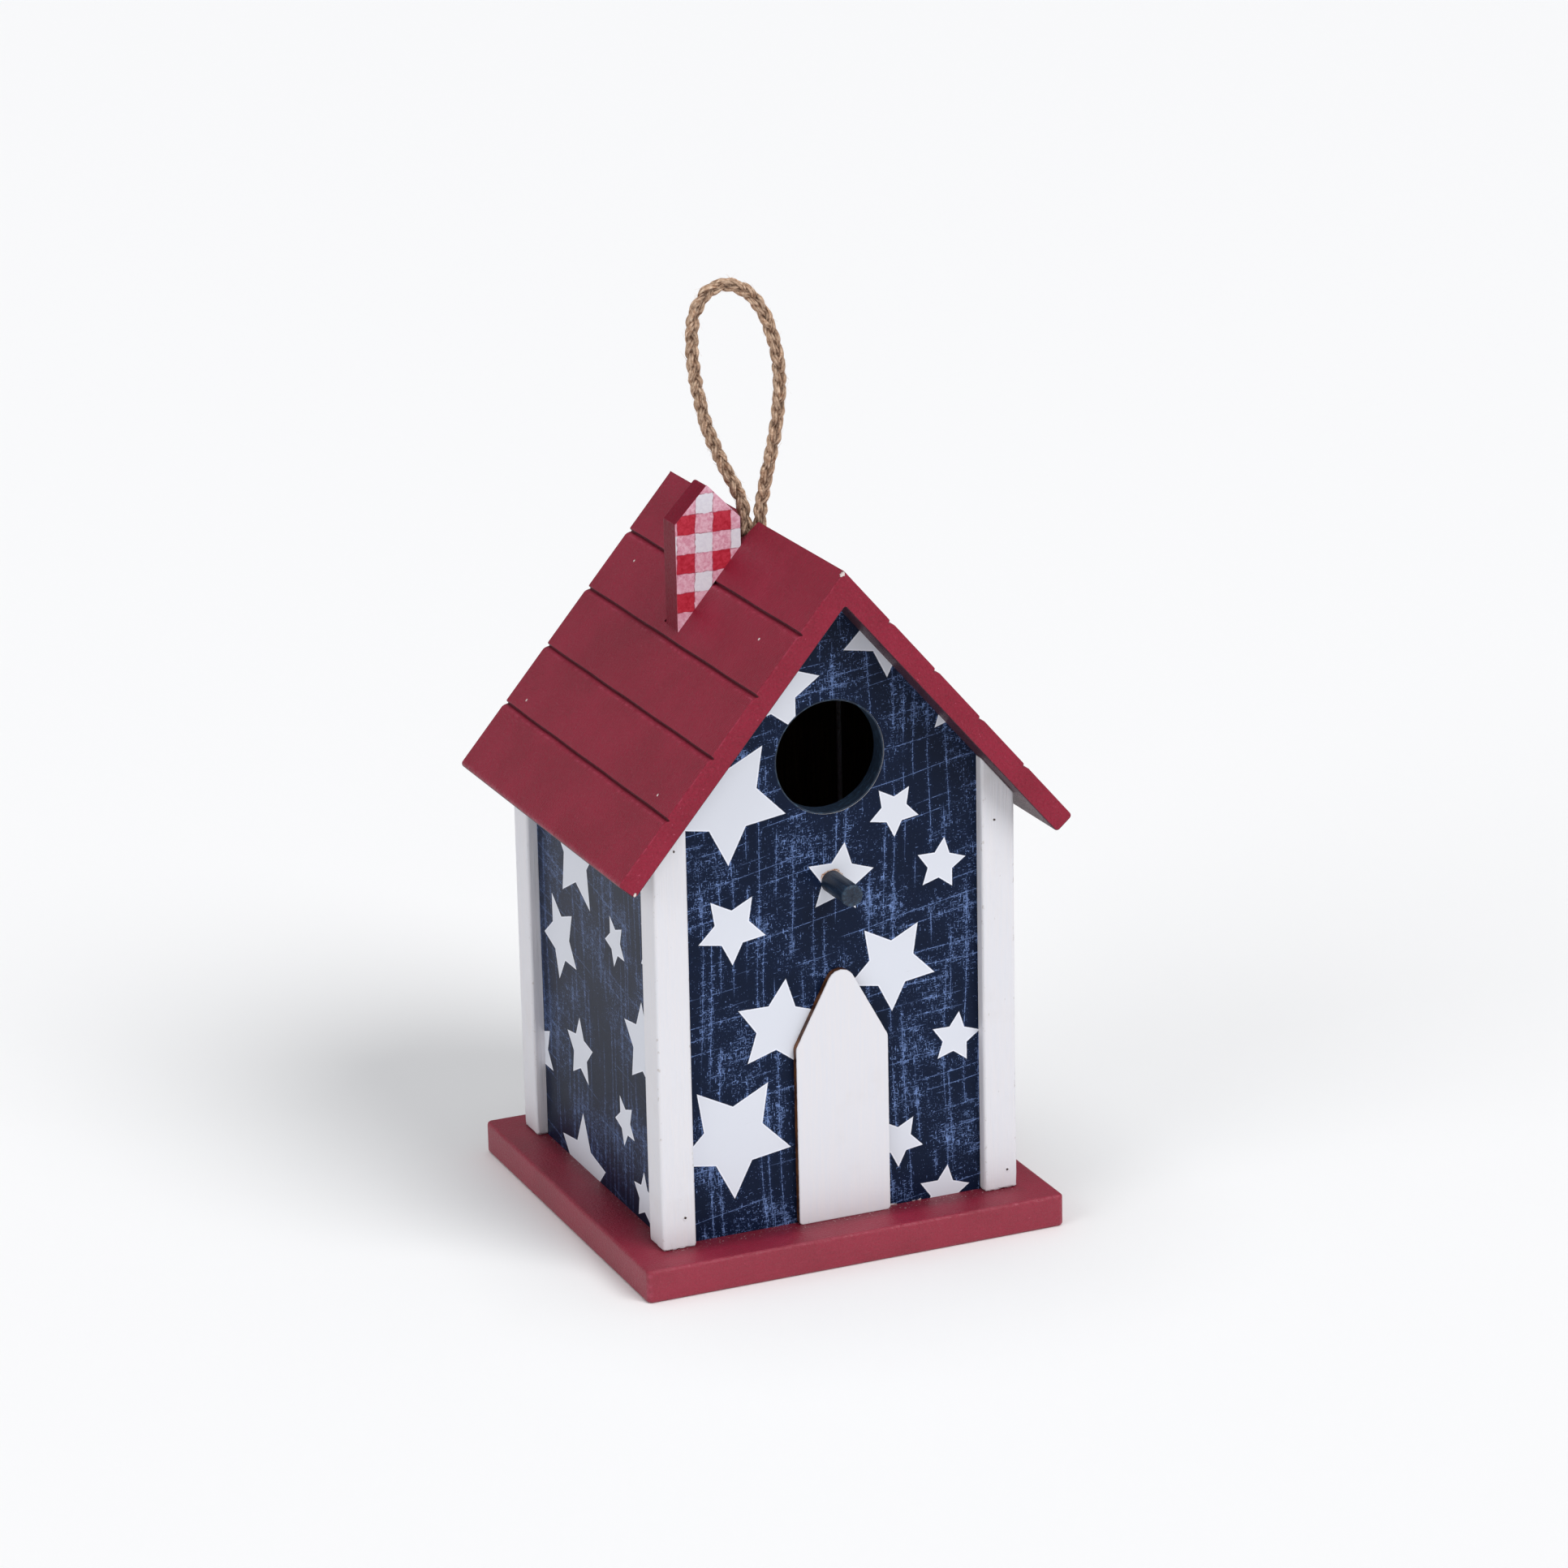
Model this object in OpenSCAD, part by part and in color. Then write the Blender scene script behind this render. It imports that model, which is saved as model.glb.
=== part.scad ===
// Small gabled birdhouse of painted plywood, with corner posts, a perch, a chimney,
// a picket door plaque, a swivelling clean-out cover and a jute loop to hang it by.
// The front faces -Y, +Z is up, and the origin is the centre of the base's underside.

/* [Body] */
// Width over the corner posts
body_w = 102.4; // [85:0.1:130]
// Depth over the corner posts
body_d = 101.5; // [85:0.1:130]
// Height of a corner post's outer edge
post_h = 110.8; // [90:0.1:140]
// Side of a square corner post
post_w = 9.5; // [9:0.1:12]
// How far the posts stand proud of the walls
post_proud = 3.1; // [2.9:0.1:4]
// Thickness of a plywood wall
wall_t = 5.3; // [4:0.1:6.4]
// Thickness of the printed paper on walls and chimney
print_t = 0.2; // [0.1:0.05:0.3]

/* [Base] */
// Thickness of the base plate
base_t = 9; // [6:0.5:15]
// Base margin beyond the posts at each side
base_side = 8.8; // [4:0.1:20]
// Base margin beyond the posts at the front
base_front = 10.6; // [5:0.1:25]
// Base margin beyond the posts at the back
base_back = 7.9; // [4:0.1:20]
// Radius of the base's upright corners
base_corner_r = 1.2; // [0.5:0.1:6]

/* [Roof] */
// Slope of the roof in degrees
pitch = 49.3; // [40:0.1:55]
// Thickness of a roof board
roof_t = 6; // [4:0.1:9]
// Eave overhang, measured level from the posts
eave_out = 12.3; // [8:0.1:20]
// Overhang at the front
roof_front = 8.6; // [4:0.1:15]
// Overhang at the back
roof_back = 5.9; // [4:0.1:15]
// Distance from groove to groove down the slope
plank = 19.2; // [16:0.1:22]
// Depth of a plank groove
groove_t = 1; // [0.5:0.1:2]
// Length of a groove's shallow side
groove_run = 2; // [0.8:0.1:4]

/* [Entrance and perch] */
// Diameter of the entrance hole
hole_d = 30; // [24:0.5:32]
// Height of the entrance's centre above the base
hole_h = 127.2; // [116:0.1:132]
// Diameter of the perch
perch_d = 6; // [4:0.1:8]
// How far the perch stands out
perch_out = 13.3; // [8:0.1:20]
// Distance of the perch below the entrance's centre
perch_drop = 33.9; // [24:0.1:45]

/* [Door plaque] */
// Width of the door plaque
door_w = 26.2; // [18:0.1:32]
// Distance of the plaque's middle to the right of centre
door_x = 1.2; // [-5:0.1:5]
// Height of the plaque's straight sides
door_side_h = 49.4; // [30:0.1:55]
// Angle of the plaque's sloping edges in degrees
door_slope = 61.8; // [45:0.1:65]
// Radius of the plaque's tip
door_tip_r = 3.9; // [2:0.1:6]
// Thickness of the door plaque
door_t = 2.2; // [2:0.1:4]

/* [Chimney] */
// Width of the chimney
chimney_w = 18.4; // [14:0.1:22]
// Thickness of the chimney, with its print
chimney_t = 8.5; // [6:0.1:12]
// Distance of the chimney's middle from the ridge
chimney_x = 14.2; // [12:0.1:25]
// Place of the chimney's front face, from the middle of the base
chimney_y = -2.4; // [-12:0.1:10]
// Height of the chimney's shoulders above the ridge
chimney_side_h = 1.9; // [0:0.1:15]
// Height of the chimney's point above its shoulders
chimney_point_h = 9.6; // [4:0.1:15]

/* [Clean-out] */
// Diameter of the clean-out hole
port_d = 30; // [20:0.5:32]
// Height of the clean-out hole's centre above the base
port_h = 36; // [26:0.5:60]
// Distance of the pivot screw above the hole's centre
pivot_up = 20; // [19:0.5:22]
// How far the cover laps over the hole's rim
cover_lap = 3.5; // [2:0.1:3.8]
// Thickness of the cover
cover_t = 2.2; // [1.5:0.1:2.4]
// Gap between the cover and the wall, and between it and the screw's head
cover_gap = 0.3; // [0.2:0.05:0.4]
// Diameter of the pivot screw's shank
screw_d = 3; // [2:0.1:3.5]
// Clearance round the screw in the cover, on the radius
pivot_clear = 0.05; // [0.02:0.01:0.1]
// Diameter of the pivot screw's head
screw_head_d = 6.4; // [5:0.1:8]
// Height of the pivot screw's head
screw_head_t = 1.9; // [1.2:0.1:2.4]

/* [Nails] */
// Diameter of a brad's shank
brad_d = 1.2; // [0.8:0.1:1.6]
// Diameter of a brad's head
brad_head_d = 1.8; // [1.2:0.1:2.2]
// Thickness of a brad's head
brad_head_t = 0.5; // [0.3:0.1:1]
// Depth that the brads are driven into the piece behind
brad_bite = 9; // [5:0.5:12]
// How deep the heads are sunk below the surface
brad_sunk = 0.3; // [0.1:0.1:0.6]

/* [Hanging rope] */
// Diameter of the jute rope
rope_d = 3.8; // [3:0.1:4]
// Diameter of the rope's hole through the ridge
rope_hole_d = 9; // [8.8:0.1:11]
// Place of the rope's hole along the ridge, from the middle of the base
rope_y = 2; // [-5:0.1:8]
// Diameter of the knot under the ridge
knot_d = 10.4; // [9:0.1:12]

/* [Hidden] */
$fn = 64;

// Overrun of every cut past the face that it leaves
eps = 0.5;

// Paint and material colours
red = [0.56, 0.15, 0.19];
navy = [0.12, 0.15, 0.24];
white = [0.9, 0.9, 0.92];
pink = [0.93, 0.66, 0.73];
steel = [0.62, 0.62, 0.64];
jute = [0.68, 0.52, 0.36];

// Base and body outlines in plan
base_w = body_w + 2 * base_side;
base_d = body_d + base_front + base_back;
front_y = base_front - base_d / 2;
back_y = front_y + body_d;
face_front_y = front_y + post_proud;
face_back_y = back_y - post_proud;
face_x = body_w / 2 - post_proud;
post_in_x = body_w / 2 - post_w;

// Roof heights: under_z is the roof's underside and top_z its upper face, above a point x
ridge_in_z = base_t + post_h + body_w / 2 * tan(pitch);
ridge_z = ridge_in_z + roof_t / cos(pitch);
roof_half_w = body_w / 2 + eave_out;
roof_y0 = front_y - roof_front;
roof_y1 = back_y + roof_back;
slope_l = roof_half_w / cos(pitch);
function under_z(x) = ridge_in_z - abs(x) * tan(pitch);
function top_z(x) = ridge_z - abs(x) * tan(pitch);

// Planes of the middle of each wall's thickness, where the brads run
front_mid_y = face_front_y + print_t + wall_t / 2;
back_mid_y = face_back_y - print_t - wall_t / 2;
side_mid_x = face_x - print_t - wall_t / 2;

hole_z = base_t + hole_h;
perch_z = hole_z - perch_drop;
port_z = base_t + port_h;
pivot_z = port_z + pivot_up;
cover_r = port_d / 2 + cover_lap;
cover_lug_r = 5.5;
cover_y = face_back_y + cover_gap;
screw_bite = wall_t - 0.8;
print_hole_gap = 0.4;

// Brad places: distances down the slope, the lower one over the post's inner edge, and heights
roof_brad_s = [26, post_in_x / cos(pitch) + post_w];
post_brad_z = [base_t + 7, base_t + post_h - 4];
nail_d = 1.8;
nail_head_d = 3.2;
nail_head_t = 0.8;
nail_bite = 14;
nail_edge = 3;

// The rope's route, from the knot up through the ridge, round the loop and back:
// x, then y from the rope's hole, then z from the ridge
rope_route = [
    [-1.6, 0, -16],
    [-1.6, 0, -8],
    [-1.6, 0, -2],
    [-2.2, 0.2, 3],
    [-4, 0.5, 8.5],
    [-7.3, 0.8, 15],
    [-10.6, 1, 23],
    [-13, 1, 31],
    [-14.6, 1, 40],
    [-14.9, 0.8, 48],
    [-13.8, 0.5, 56],
    [-10.6, 0.2, 61.2],
    [-5.4, 0, 63.2],
    [0.3, -0.3, 61],
    [4.9, -0.6, 55.2],
    [7.5, -0.8, 48.2],
    [8.5, -1, 41.5],
    [8.5, -1, 34.6],
    [7.6, -0.9, 26.8],
    [6.3, -0.7, 18.9],
    [4.7, -0.4, 12.2],
    [3.4, -0.2, 6],
    [2.6, 0, 1],
    [2.4, 0, -4],
    [2.4, 0, -10],
    [2.4, 0, -16],
];
rope_sides = 8;

// Carries a flat shape, drawn in X and Z, from y0 to y1
module along_y(y0, y1)
    translate([0, y1, 0])
    rotate([90, 0, 0])
    linear_extrude(height = y1 - y0)
    children();

// A nail whose head's top is at the origin, driven down -Z
module nail(d, head_d, head_t, l) {
    translate([0, 0, -head_t])
        cylinder(d = head_d, h = head_t, $fn = 24);
    translate([0, 0, -l])
        cylinder(d = d, h = l - head_t / 2, $fn = 24);
}

// The same nail with its sinking, as the hole to cut for it
module nail_hole(d, head_d, head_t, l, sunk) {
    translate([0, 0, -head_t])
        cylinder(d = head_d, h = head_t + sunk + eps, $fn = 24);
    translate([0, 0, -l])
        cylinder(d = d, h = l - head_t / 2, $fn = 24);
}

module rounded_plate(w, d, t, r)
    linear_extrude(height = t)
    union() {
        square([w - 2 * r, d], center = true);
        square([w, d - 2 * r], center = true);
        for (sx = [-1, 1], sy = [-1, 1])
            translate([sx * (w / 2 - r), sy * (d / 2 - r)])
                circle(r = r, $fn = 32);
    }

// Places of the nails up through the base: four posts, clear of their brads, and the walls
base_nail_at = [
    [-body_w / 2 + nail_edge, front_y + nail_edge],
    [body_w / 2 - nail_edge, front_y + nail_edge],
    [-body_w / 2 + nail_edge, back_y - nail_edge],
    [body_w / 2 - nail_edge, back_y - nail_edge],
    [-post_in_x / 2, front_mid_y],
    [post_in_x / 2, front_mid_y],
    [-post_in_x / 2, back_mid_y],
    [post_in_x / 2, back_mid_y],
    [-side_mid_x, (front_y + back_y) / 2],
    [side_mid_x, (front_y + back_y) / 2],
];
nail_l = base_t + nail_bite - brad_sunk;

module base_nails_as(hole)
    for (p = base_nail_at)
        translate([p[0], p[1], brad_sunk])
            rotate([180, 0, 0])
            if (hole)
                nail_hole(nail_d, nail_head_d, nail_head_t, nail_l, brad_sunk);
            else
                nail(nail_d, nail_head_d, nail_head_t, nail_l);

// Brads through one roof board into the front and back walls, for the right-hand slope
module roof_brads_as(hole)
    for (s = roof_brad_s, y = [front_mid_y, back_mid_y])
        translate([s * cos(pitch), y, ridge_z - s * sin(pitch)])
            rotate([0, pitch, 0])
            translate([0, 0, -brad_sunk])
            if (hole)
                nail_hole(brad_d, brad_head_d, brad_head_t, roof_t + brad_bite, brad_sunk);
            else
                nail(brad_d, brad_head_d, brad_head_t, roof_t + brad_bite);

// Brads through the two front posts into the side walls' ends, driven from y0 towards +Y
module post_brads_as(hole)
    for (sx = [-1, 1], z = post_brad_z)
        translate([sx * side_mid_x, front_y + brad_sunk, z])
            rotate([90, 0, 0])
            if (hole)
                nail_hole(brad_d, brad_head_d, brad_head_t, post_w + brad_bite, brad_sunk);
            else
                nail(brad_d, brad_head_d, brad_head_t, post_w + brad_bite);

// The back posts' brads are the front ones turned about the body's middle
module back_post_brads_as(hole)
    translate([0, front_y + back_y, 0])
    mirror([0, 1, 0])
    post_brads_as(hole);

// The chimney's nail, up through the left roof board, square to the slope
chimney_nail_l = roof_t + 7;
module chimney_nail_as(hole)
    translate([-chimney_x, chimney_y + chimney_t / 2, top_z(chimney_x)])
        rotate([0, -pitch, 0])
        translate([0, 0, -roof_t + brad_sunk])
        rotate([180, 0, 0])
        if (hole)
            nail_hole(brad_d, brad_head_d, brad_head_t, chimney_nail_l, brad_sunk);
        else
            nail(brad_d, brad_head_d, brad_head_t, chimney_nail_l);

module base_plate()
    color(red)
    difference() {
        rounded_plate(base_w, base_d, base_t, base_corner_r);
        base_nails_as(true);
    }

// Gable outline between the posts, up to the roof's underside
module gable_2d()
    polygon([
        [-post_in_x, base_t],
        [post_in_x, base_t],
        [post_in_x, under_z(post_in_x)],
        [0, ridge_in_z],
        [-post_in_x, under_z(post_in_x)],
    ]);

module all_roof_brads_as(hole) {
    roof_brads_as(hole);
    mirror([1, 0, 0])
        roof_brads_as(hole);
}

module front_wall()
    color(navy)
    difference() {
        along_y(face_front_y + print_t, face_front_y + print_t + wall_t)
            gable_2d();
        along_y(face_front_y - eps, face_front_y + print_t + wall_t + eps)
            translate([0, hole_z])
            circle(d = hole_d);
        along_y(face_front_y - eps, face_front_y + print_t + wall_t + eps)
            translate([0, perch_z])
            circle(d = perch_d, $fn = 40);
        all_roof_brads_as(true);
        base_nails_as(true);
    }

module back_wall()
    color(navy)
    difference() {
        along_y(face_back_y - print_t - wall_t, face_back_y - print_t)
            gable_2d();
        along_y(face_back_y - print_t - wall_t - eps, face_back_y + eps)
            translate([0, port_z])
            circle(d = port_d);
        along_y(face_back_y - print_t - screw_bite, face_back_y + eps)
            translate([0, pivot_z])
            circle(d = screw_d, $fn = 32);
        all_roof_brads_as(true);
        base_nails_as(true);
    }

module front_print()
    color(navy)
    along_y(face_front_y, face_front_y + print_t)
    difference() {
        gable_2d();
        translate([0, hole_z])
            circle(d = hole_d + 2 * print_hole_gap);
        translate([0, perch_z])
            circle(d = perch_d, $fn = 40);
    }

module back_print()
    color(navy)
    along_y(face_back_y - print_t, face_back_y)
    difference() {
        gable_2d();
        translate([0, port_z])
            circle(d = port_d + 2 * print_hole_gap);
        translate([0, pivot_z])
            circle(d = screw_d, $fn = 32);
    }

// Upright strip between two distances from the middle, its top cut to the roof's slope
module strip_2d(x0, x1)
    polygon([
        [x0, base_t],
        [x1, base_t],
        [x1, under_z(x1)],
        [x0, under_z(x0)],
    ]);

// A side wall on the right, rebated round the end walls where these are thicker than the
// posts leave room for; mirrored for the left
module side_wall()
    color(navy)
    difference() {
        along_y(front_y + post_w, back_y - post_w)
            strip_2d(face_x - print_t - wall_t, face_x - print_t);
        along_y(face_front_y, face_front_y + print_t + wall_t)
            gable_2d();
        along_y(face_back_y - print_t - wall_t, face_back_y)
            gable_2d();
        post_brads_as(true);
        back_post_brads_as(true);
        base_nails_as(true);
    }

module side_print()
    color(navy)
    along_y(front_y + post_w, back_y - post_w)
    strip_2d(face_x - print_t, face_x);

module right_wall()
    side_wall();

module left_wall()
    mirror([1, 0, 0])
    side_wall();

module right_print()
    side_print();

module left_print()
    mirror([1, 0, 0])
    side_print();

// A post at the front right; the others are its mirror images
module front_post()
    color(white)
    difference() {
        along_y(front_y, front_y + post_w)
            strip_2d(post_in_x, body_w / 2);
        post_brads_as(true);
        roof_brads_as(true);
        base_nails_as(true);
    }

module back_post()
    color(white)
    difference() {
        along_y(back_y - post_w, back_y)
            strip_2d(post_in_x, body_w / 2);
        back_post_brads_as(true);
        roof_brads_as(true);
        base_nails_as(true);
    }

module front_right_post()
    front_post();

module front_left_post()
    mirror([1, 0, 0])
    front_post();

module back_right_post()
    back_post();

module back_left_post()
    mirror([1, 0, 0])
    back_post();

// Section of the right roof board: mitred at the ridge, square at the eave,
// with a groove at every plank, steep above and shallow below
grooves = floor((slope_l - groove_run) / plank);
module roof_section()
    difference() {
        polygon([
            [0, ridge_in_z],
            [0, ridge_z],
            [roof_half_w, top_z(roof_half_w)],
            [roof_half_w - roof_t * sin(pitch), top_z(roof_half_w) - roof_t * cos(pitch)],
        ]);
        for (k = [1 : grooves])
            translate([0, ridge_z])
                rotate(-pitch)
                translate([k * plank, 0])
                polygon([
                    [0, -groove_t],
                    [groove_run, 0],
                    [groove_run, eps],
                    [0, eps],
                ]);
    }

module roof_board()
    difference() {
        along_y(roof_y0, roof_y1)
            roof_section();
        translate([0, rope_y, ridge_in_z - rope_hole_d])
            cylinder(d = rope_hole_d, h = rope_hole_d + roof_t / cos(pitch) + eps);
        roof_brads_as(true);
    }

module right_roof_board()
    color(red)
    roof_board();

module left_roof_board()
    color(red)
    difference() {
        mirror([1, 0, 0])
            roof_board();
        chimney_nail_as(true);
    }

// Chimney outline: its foot follows the left slope
module chimney_2d() {
    x0 = -chimney_x - chimney_w / 2;
    x1 = -chimney_x + chimney_w / 2;
    side_z = ridge_z + chimney_side_h;
    polygon([
        [x0, top_z(x0)],
        [x1, top_z(x1)],
        [x1, side_z],
        [-chimney_x, side_z + chimney_point_h],
        [x0, side_z],
    ]);
}

module chimney()
    color(red)
    difference() {
        along_y(chimney_y + print_t, chimney_y + chimney_t)
            chimney_2d();
        chimney_nail_as(true);
    }

module chimney_print()
    color(pink)
    along_y(chimney_y, chimney_y + print_t)
    chimney_2d();

// Dowel through the front wall, its free end chamfered
perch_chamfer = 0.5;
module perch()
    color(navy)
    translate([0, face_front_y + print_t + wall_t, perch_z])
    rotate([90, 0, 0])
    rotate_extrude($fn = 40)
    polygon([
        [0, 0],
        [perch_d / 2, 0],
        [perch_d / 2, wall_t + print_t + perch_out - perch_chamfer],
        [perch_d / 2 - perch_chamfer, wall_t + print_t + perch_out],
        [0, wall_t + print_t + perch_out],
    ]);

// Picket outline: a rounded tip between two sloping edges
module door_2d() {
    peak_h = door_side_h + door_w / 2 * tan(door_slope);
    tip_h = peak_h - door_tip_r / cos(door_slope);
    touch_x = door_tip_r * sin(door_slope);
    touch_h = tip_h + door_tip_r * cos(door_slope);
    polygon([
        [-door_w / 2, 0],
        [door_w / 2, 0],
        [door_w / 2, door_side_h],
        [touch_x, touch_h],
        [0, tip_h],
        [-touch_x, touch_h],
        [-door_w / 2, door_side_h],
    ]);
    translate([0, tip_h])
        circle(r = door_tip_r);
}

module door_plaque()
    color(white)
    along_y(face_front_y - door_t, face_front_y)
    translate([door_x, base_t])
    door_2d();

// Cover outline: a disc over the hole, narrowing to a round lug at the pivot
neck_foot = 0.8;
neck_foot_up = 0.3;
neck_top = 0.85;
module cover_2d()
    difference() {
        union() {
            circle(r = cover_r);
            translate([0, pivot_up])
                circle(r = cover_lug_r);
            polygon([
                [-neck_foot * cover_r, neck_foot_up * cover_r],
                [neck_foot * cover_r, neck_foot_up * cover_r],
                [neck_top * cover_lug_r, pivot_up],
                [-neck_top * cover_lug_r, pivot_up],
            ]);
        }
        translate([0, pivot_up])
            circle(d = screw_d + 2 * pivot_clear, $fn = 32);
    }

module cleanout_cover()
    color(white)
    along_y(cover_y, cover_y + cover_t)
    translate([0, port_z])
    cover_2d();

// Pan-head screw with a cross recess, its axis along +Y
recess_w = 0.9;
module cleanout_screw()
    color(steel)
    translate([0, face_back_y, pivot_z])
    rotate([-90, 0, 0])
    difference() {
        union() {
            translate([0, 0, -print_t - screw_bite])
                cylinder(d = screw_d, h = print_t + screw_bite + 2 * cover_gap + cover_t, $fn = 32);
            translate([0, 0, 2 * cover_gap + cover_t])
                rotate_extrude($fn = 48)
                polygon([
                    [0, 0],
                    [screw_head_d / 2, 0],
                    [screw_head_d / 2, screw_head_t * 0.45],
                    [screw_head_d / 2 - 0.7, screw_head_t * 0.9],
                    [screw_head_d / 2 - 1.4, screw_head_t],
                    [0, screw_head_t],
                ]);
        }
        for (turn = [0, 90])
            rotate(turn)
                translate([-screw_head_d * 0.28, -recess_w / 2, 2 * cover_gap + cover_t + screw_head_t * 0.4])
                cube([screw_head_d * 0.56, recess_w, screw_head_t]);
    }

module right_roof_brads()
    color(steel)
    roof_brads_as(false);

module left_roof_brads()
    color(steel)
    mirror([1, 0, 0])
    roof_brads_as(false);

module front_post_brads()
    color(steel)
    post_brads_as(false);

module back_post_brads()
    color(steel)
    back_post_brads_as(false);

module base_nails()
    color(steel)
    base_nails_as(false);

module chimney_nail()
    color(steel)
    chimney_nail_as(false);

// The rope is a tube swept along its route: a ring of points square to the run at each one
function unit(v) = v / norm(v);
function run_at(k) = unit(rope_route[min(k + 1, len(rope_route) - 1)] - rope_route[max(k - 1, 0)]);
function ring_at(k) =
    let (t = run_at(k), u = unit(cross([0, 1, 0], t)), v = cross(t, u))
    [for (i = [0 : rope_sides - 1])
        let (a = 360 * i / rope_sides)
        [0, rope_y, ridge_z] + rope_route[k] + rope_d / 2 * (cos(a) * u + sin(a) * v)];

module hanging_rope() {
    rings = len(rope_route);
    n = rope_sides;
    points = [for (k = [0 : rings - 1]) each ring_at(k)];
    sides = [for (k = [0 : rings - 2], i = [0 : n - 1])
        [k * n + i, k * n + (i + 1) % n, (k + 1) * n + (i + 1) % n, (k + 1) * n + i]];
    start_cap = [for (i = [n - 1 : -1 : 0]) i];
    end_cap = [for (i = [0 : n - 1]) (rings - 1) * n + i];
    color(jute)
        polyhedron(points = points, faces = concat(sides, [start_cap, end_cap]), convexity = 6);
}

// Knot of both rope ends, drawn up against the roof's underside
module rope_knot()
    color(jute)
    translate([0, rope_y, ridge_in_z - knot_d / 2 / cos(pitch) - 0.1])
    sphere(d = knot_d, $fn = 48);

base_plate();
front_wall();
back_wall();
left_wall();
right_wall();
front_print();
back_print();
left_print();
right_print();
front_left_post();
front_right_post();
back_left_post();
back_right_post();
left_roof_board();
right_roof_board();
chimney();
chimney_print();
perch();
door_plaque();
cleanout_cover();
cleanout_screw();
left_roof_brads();
right_roof_brads();
front_post_brads();
back_post_brads();
base_nails();
chimney_nail();
hanging_rope();
rope_knot();
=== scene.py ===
import math

import bpy
import numpy as np
from mathutils import Matrix, Vector


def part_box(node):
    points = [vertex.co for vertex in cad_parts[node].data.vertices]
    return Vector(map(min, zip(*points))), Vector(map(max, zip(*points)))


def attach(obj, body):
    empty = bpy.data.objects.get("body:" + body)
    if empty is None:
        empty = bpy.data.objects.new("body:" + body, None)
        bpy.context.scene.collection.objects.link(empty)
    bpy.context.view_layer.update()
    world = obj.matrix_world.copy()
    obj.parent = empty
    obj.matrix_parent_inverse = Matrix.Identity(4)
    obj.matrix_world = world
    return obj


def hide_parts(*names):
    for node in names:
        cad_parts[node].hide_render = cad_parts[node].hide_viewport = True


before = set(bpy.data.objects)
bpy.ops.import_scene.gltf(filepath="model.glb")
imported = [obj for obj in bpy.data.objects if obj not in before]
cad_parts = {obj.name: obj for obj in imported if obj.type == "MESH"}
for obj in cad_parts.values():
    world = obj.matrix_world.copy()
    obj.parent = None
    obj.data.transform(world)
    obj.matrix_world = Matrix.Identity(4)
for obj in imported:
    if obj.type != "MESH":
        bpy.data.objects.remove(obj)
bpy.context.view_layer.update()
mm = 0.001
draw = np.random.default_rng(11)

# the CAD nodes' boxes, in mm
nodeLow = {name: np.array(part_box(name)[0]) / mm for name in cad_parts}
nodeHigh = {name: np.array(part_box(name)[1]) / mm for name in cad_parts}
ridgeTop = nodeHigh["right_roof_board"][2]
baseTop = nodeHigh["base_plate"][2]

# the roof's sizes in mm, its pitch in degrees
roofSizes = {
    "pitch": 49.3,
    "thick": 6.0,
    "plank": 19.2,  # from one groove to the next
    "grooveDeep": 0.95,
    "grooveRun": 2.0,
    "gableRound": 0.35,
    "eaveRound": 1.1,
    "gap": 1.4,  # between two rings along the ridge
    "holeAcross": 9.0,
}
slope = math.radians(roofSizes["pitch"])
ridgeIn = ridgeTop - roofSizes["thick"] / math.cos(slope)


def underRoof(x):
    # height of the roof's underside above a distance x from the middle
    return ridgeIn - np.abs(x) * math.tan(slope)


# where the camera stands, in metres, and where it looks, in degrees
cameraSizes = {
    "place": (-0.51324, -1.21799, 0.53798),
    "yaw": 23.123,
    "pitch": -17.726,
    "roll": -1.234,
    "lens": 119.57,
}


def makeCamera():
    # yaw turns from +Y towards +X, pitch lifts, and roll turns about the line of sight
    yaw, pitch, roll = (math.radians(cameraSizes[k]) for k in ("yaw", "pitch", "roll"))
    ahead = np.array([math.sin(yaw) * math.cos(pitch), math.cos(yaw) * math.cos(pitch), math.sin(pitch)])
    level = np.array([math.cos(yaw), -math.sin(yaw), 0.0])
    over = np.cross(level, ahead)
    right = level * math.cos(roll) + over * math.sin(roll)
    up = over * math.cos(roll) - level * math.sin(roll)
    data = bpy.data.cameras.new("camera")
    data.lens = cameraSizes["lens"]
    data.sensor_width = 36.0
    data.clip_end = 20.0
    camera = bpy.data.objects.new("camera", data)
    bpy.context.scene.collection.objects.link(camera)
    turn = Matrix([[right[i], up[i], -ahead[i]] for i in range(3)]).to_4x4()
    camera.matrix_world = Matrix.Translation(cameraSizes["place"]) @ turn
    bpy.context.scene.camera = camera


makeCamera()
print("camera in place")


# shader maths: a socket that takes part in arithmetic
class Link:
    def __init__(self, paint, socket):
        self.paint = paint
        self.socket = socket

    def math(self, operation, *others):
        return self.paint.node("Math", {"operation": operation}, self, *others)

    def __add__(self, other):
        return self.math("ADD", other)

    __radd__ = __add__

    def __sub__(self, other):
        return self.math("SUBTRACT", other)

    def __rsub__(self, other):
        return self.paint.node("Math", {"operation": "SUBTRACT"}, other, self)

    def __mul__(self, other):
        return self.math("MULTIPLY", other)

    __rmul__ = __mul__

    def __truediv__(self, other):
        return self.math("DIVIDE", other)

    def __pow__(self, other):
        return self.math("POWER", other)

    def __abs__(self):
        return self.math("ABSOLUTE")

    def least(self, other):
        return self.math("MINIMUM", other)

    def most(self, other):
        return self.math("MAXIMUM", other)

    def step(self, low, high):
        # 0 below low, 1 above high and a smooth rise between, or the other way round
        return self.paint.node("MapRange", {"interpolation_type": "SMOOTHSTEP"}, self, low, high, 0.0, 1.0)


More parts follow.
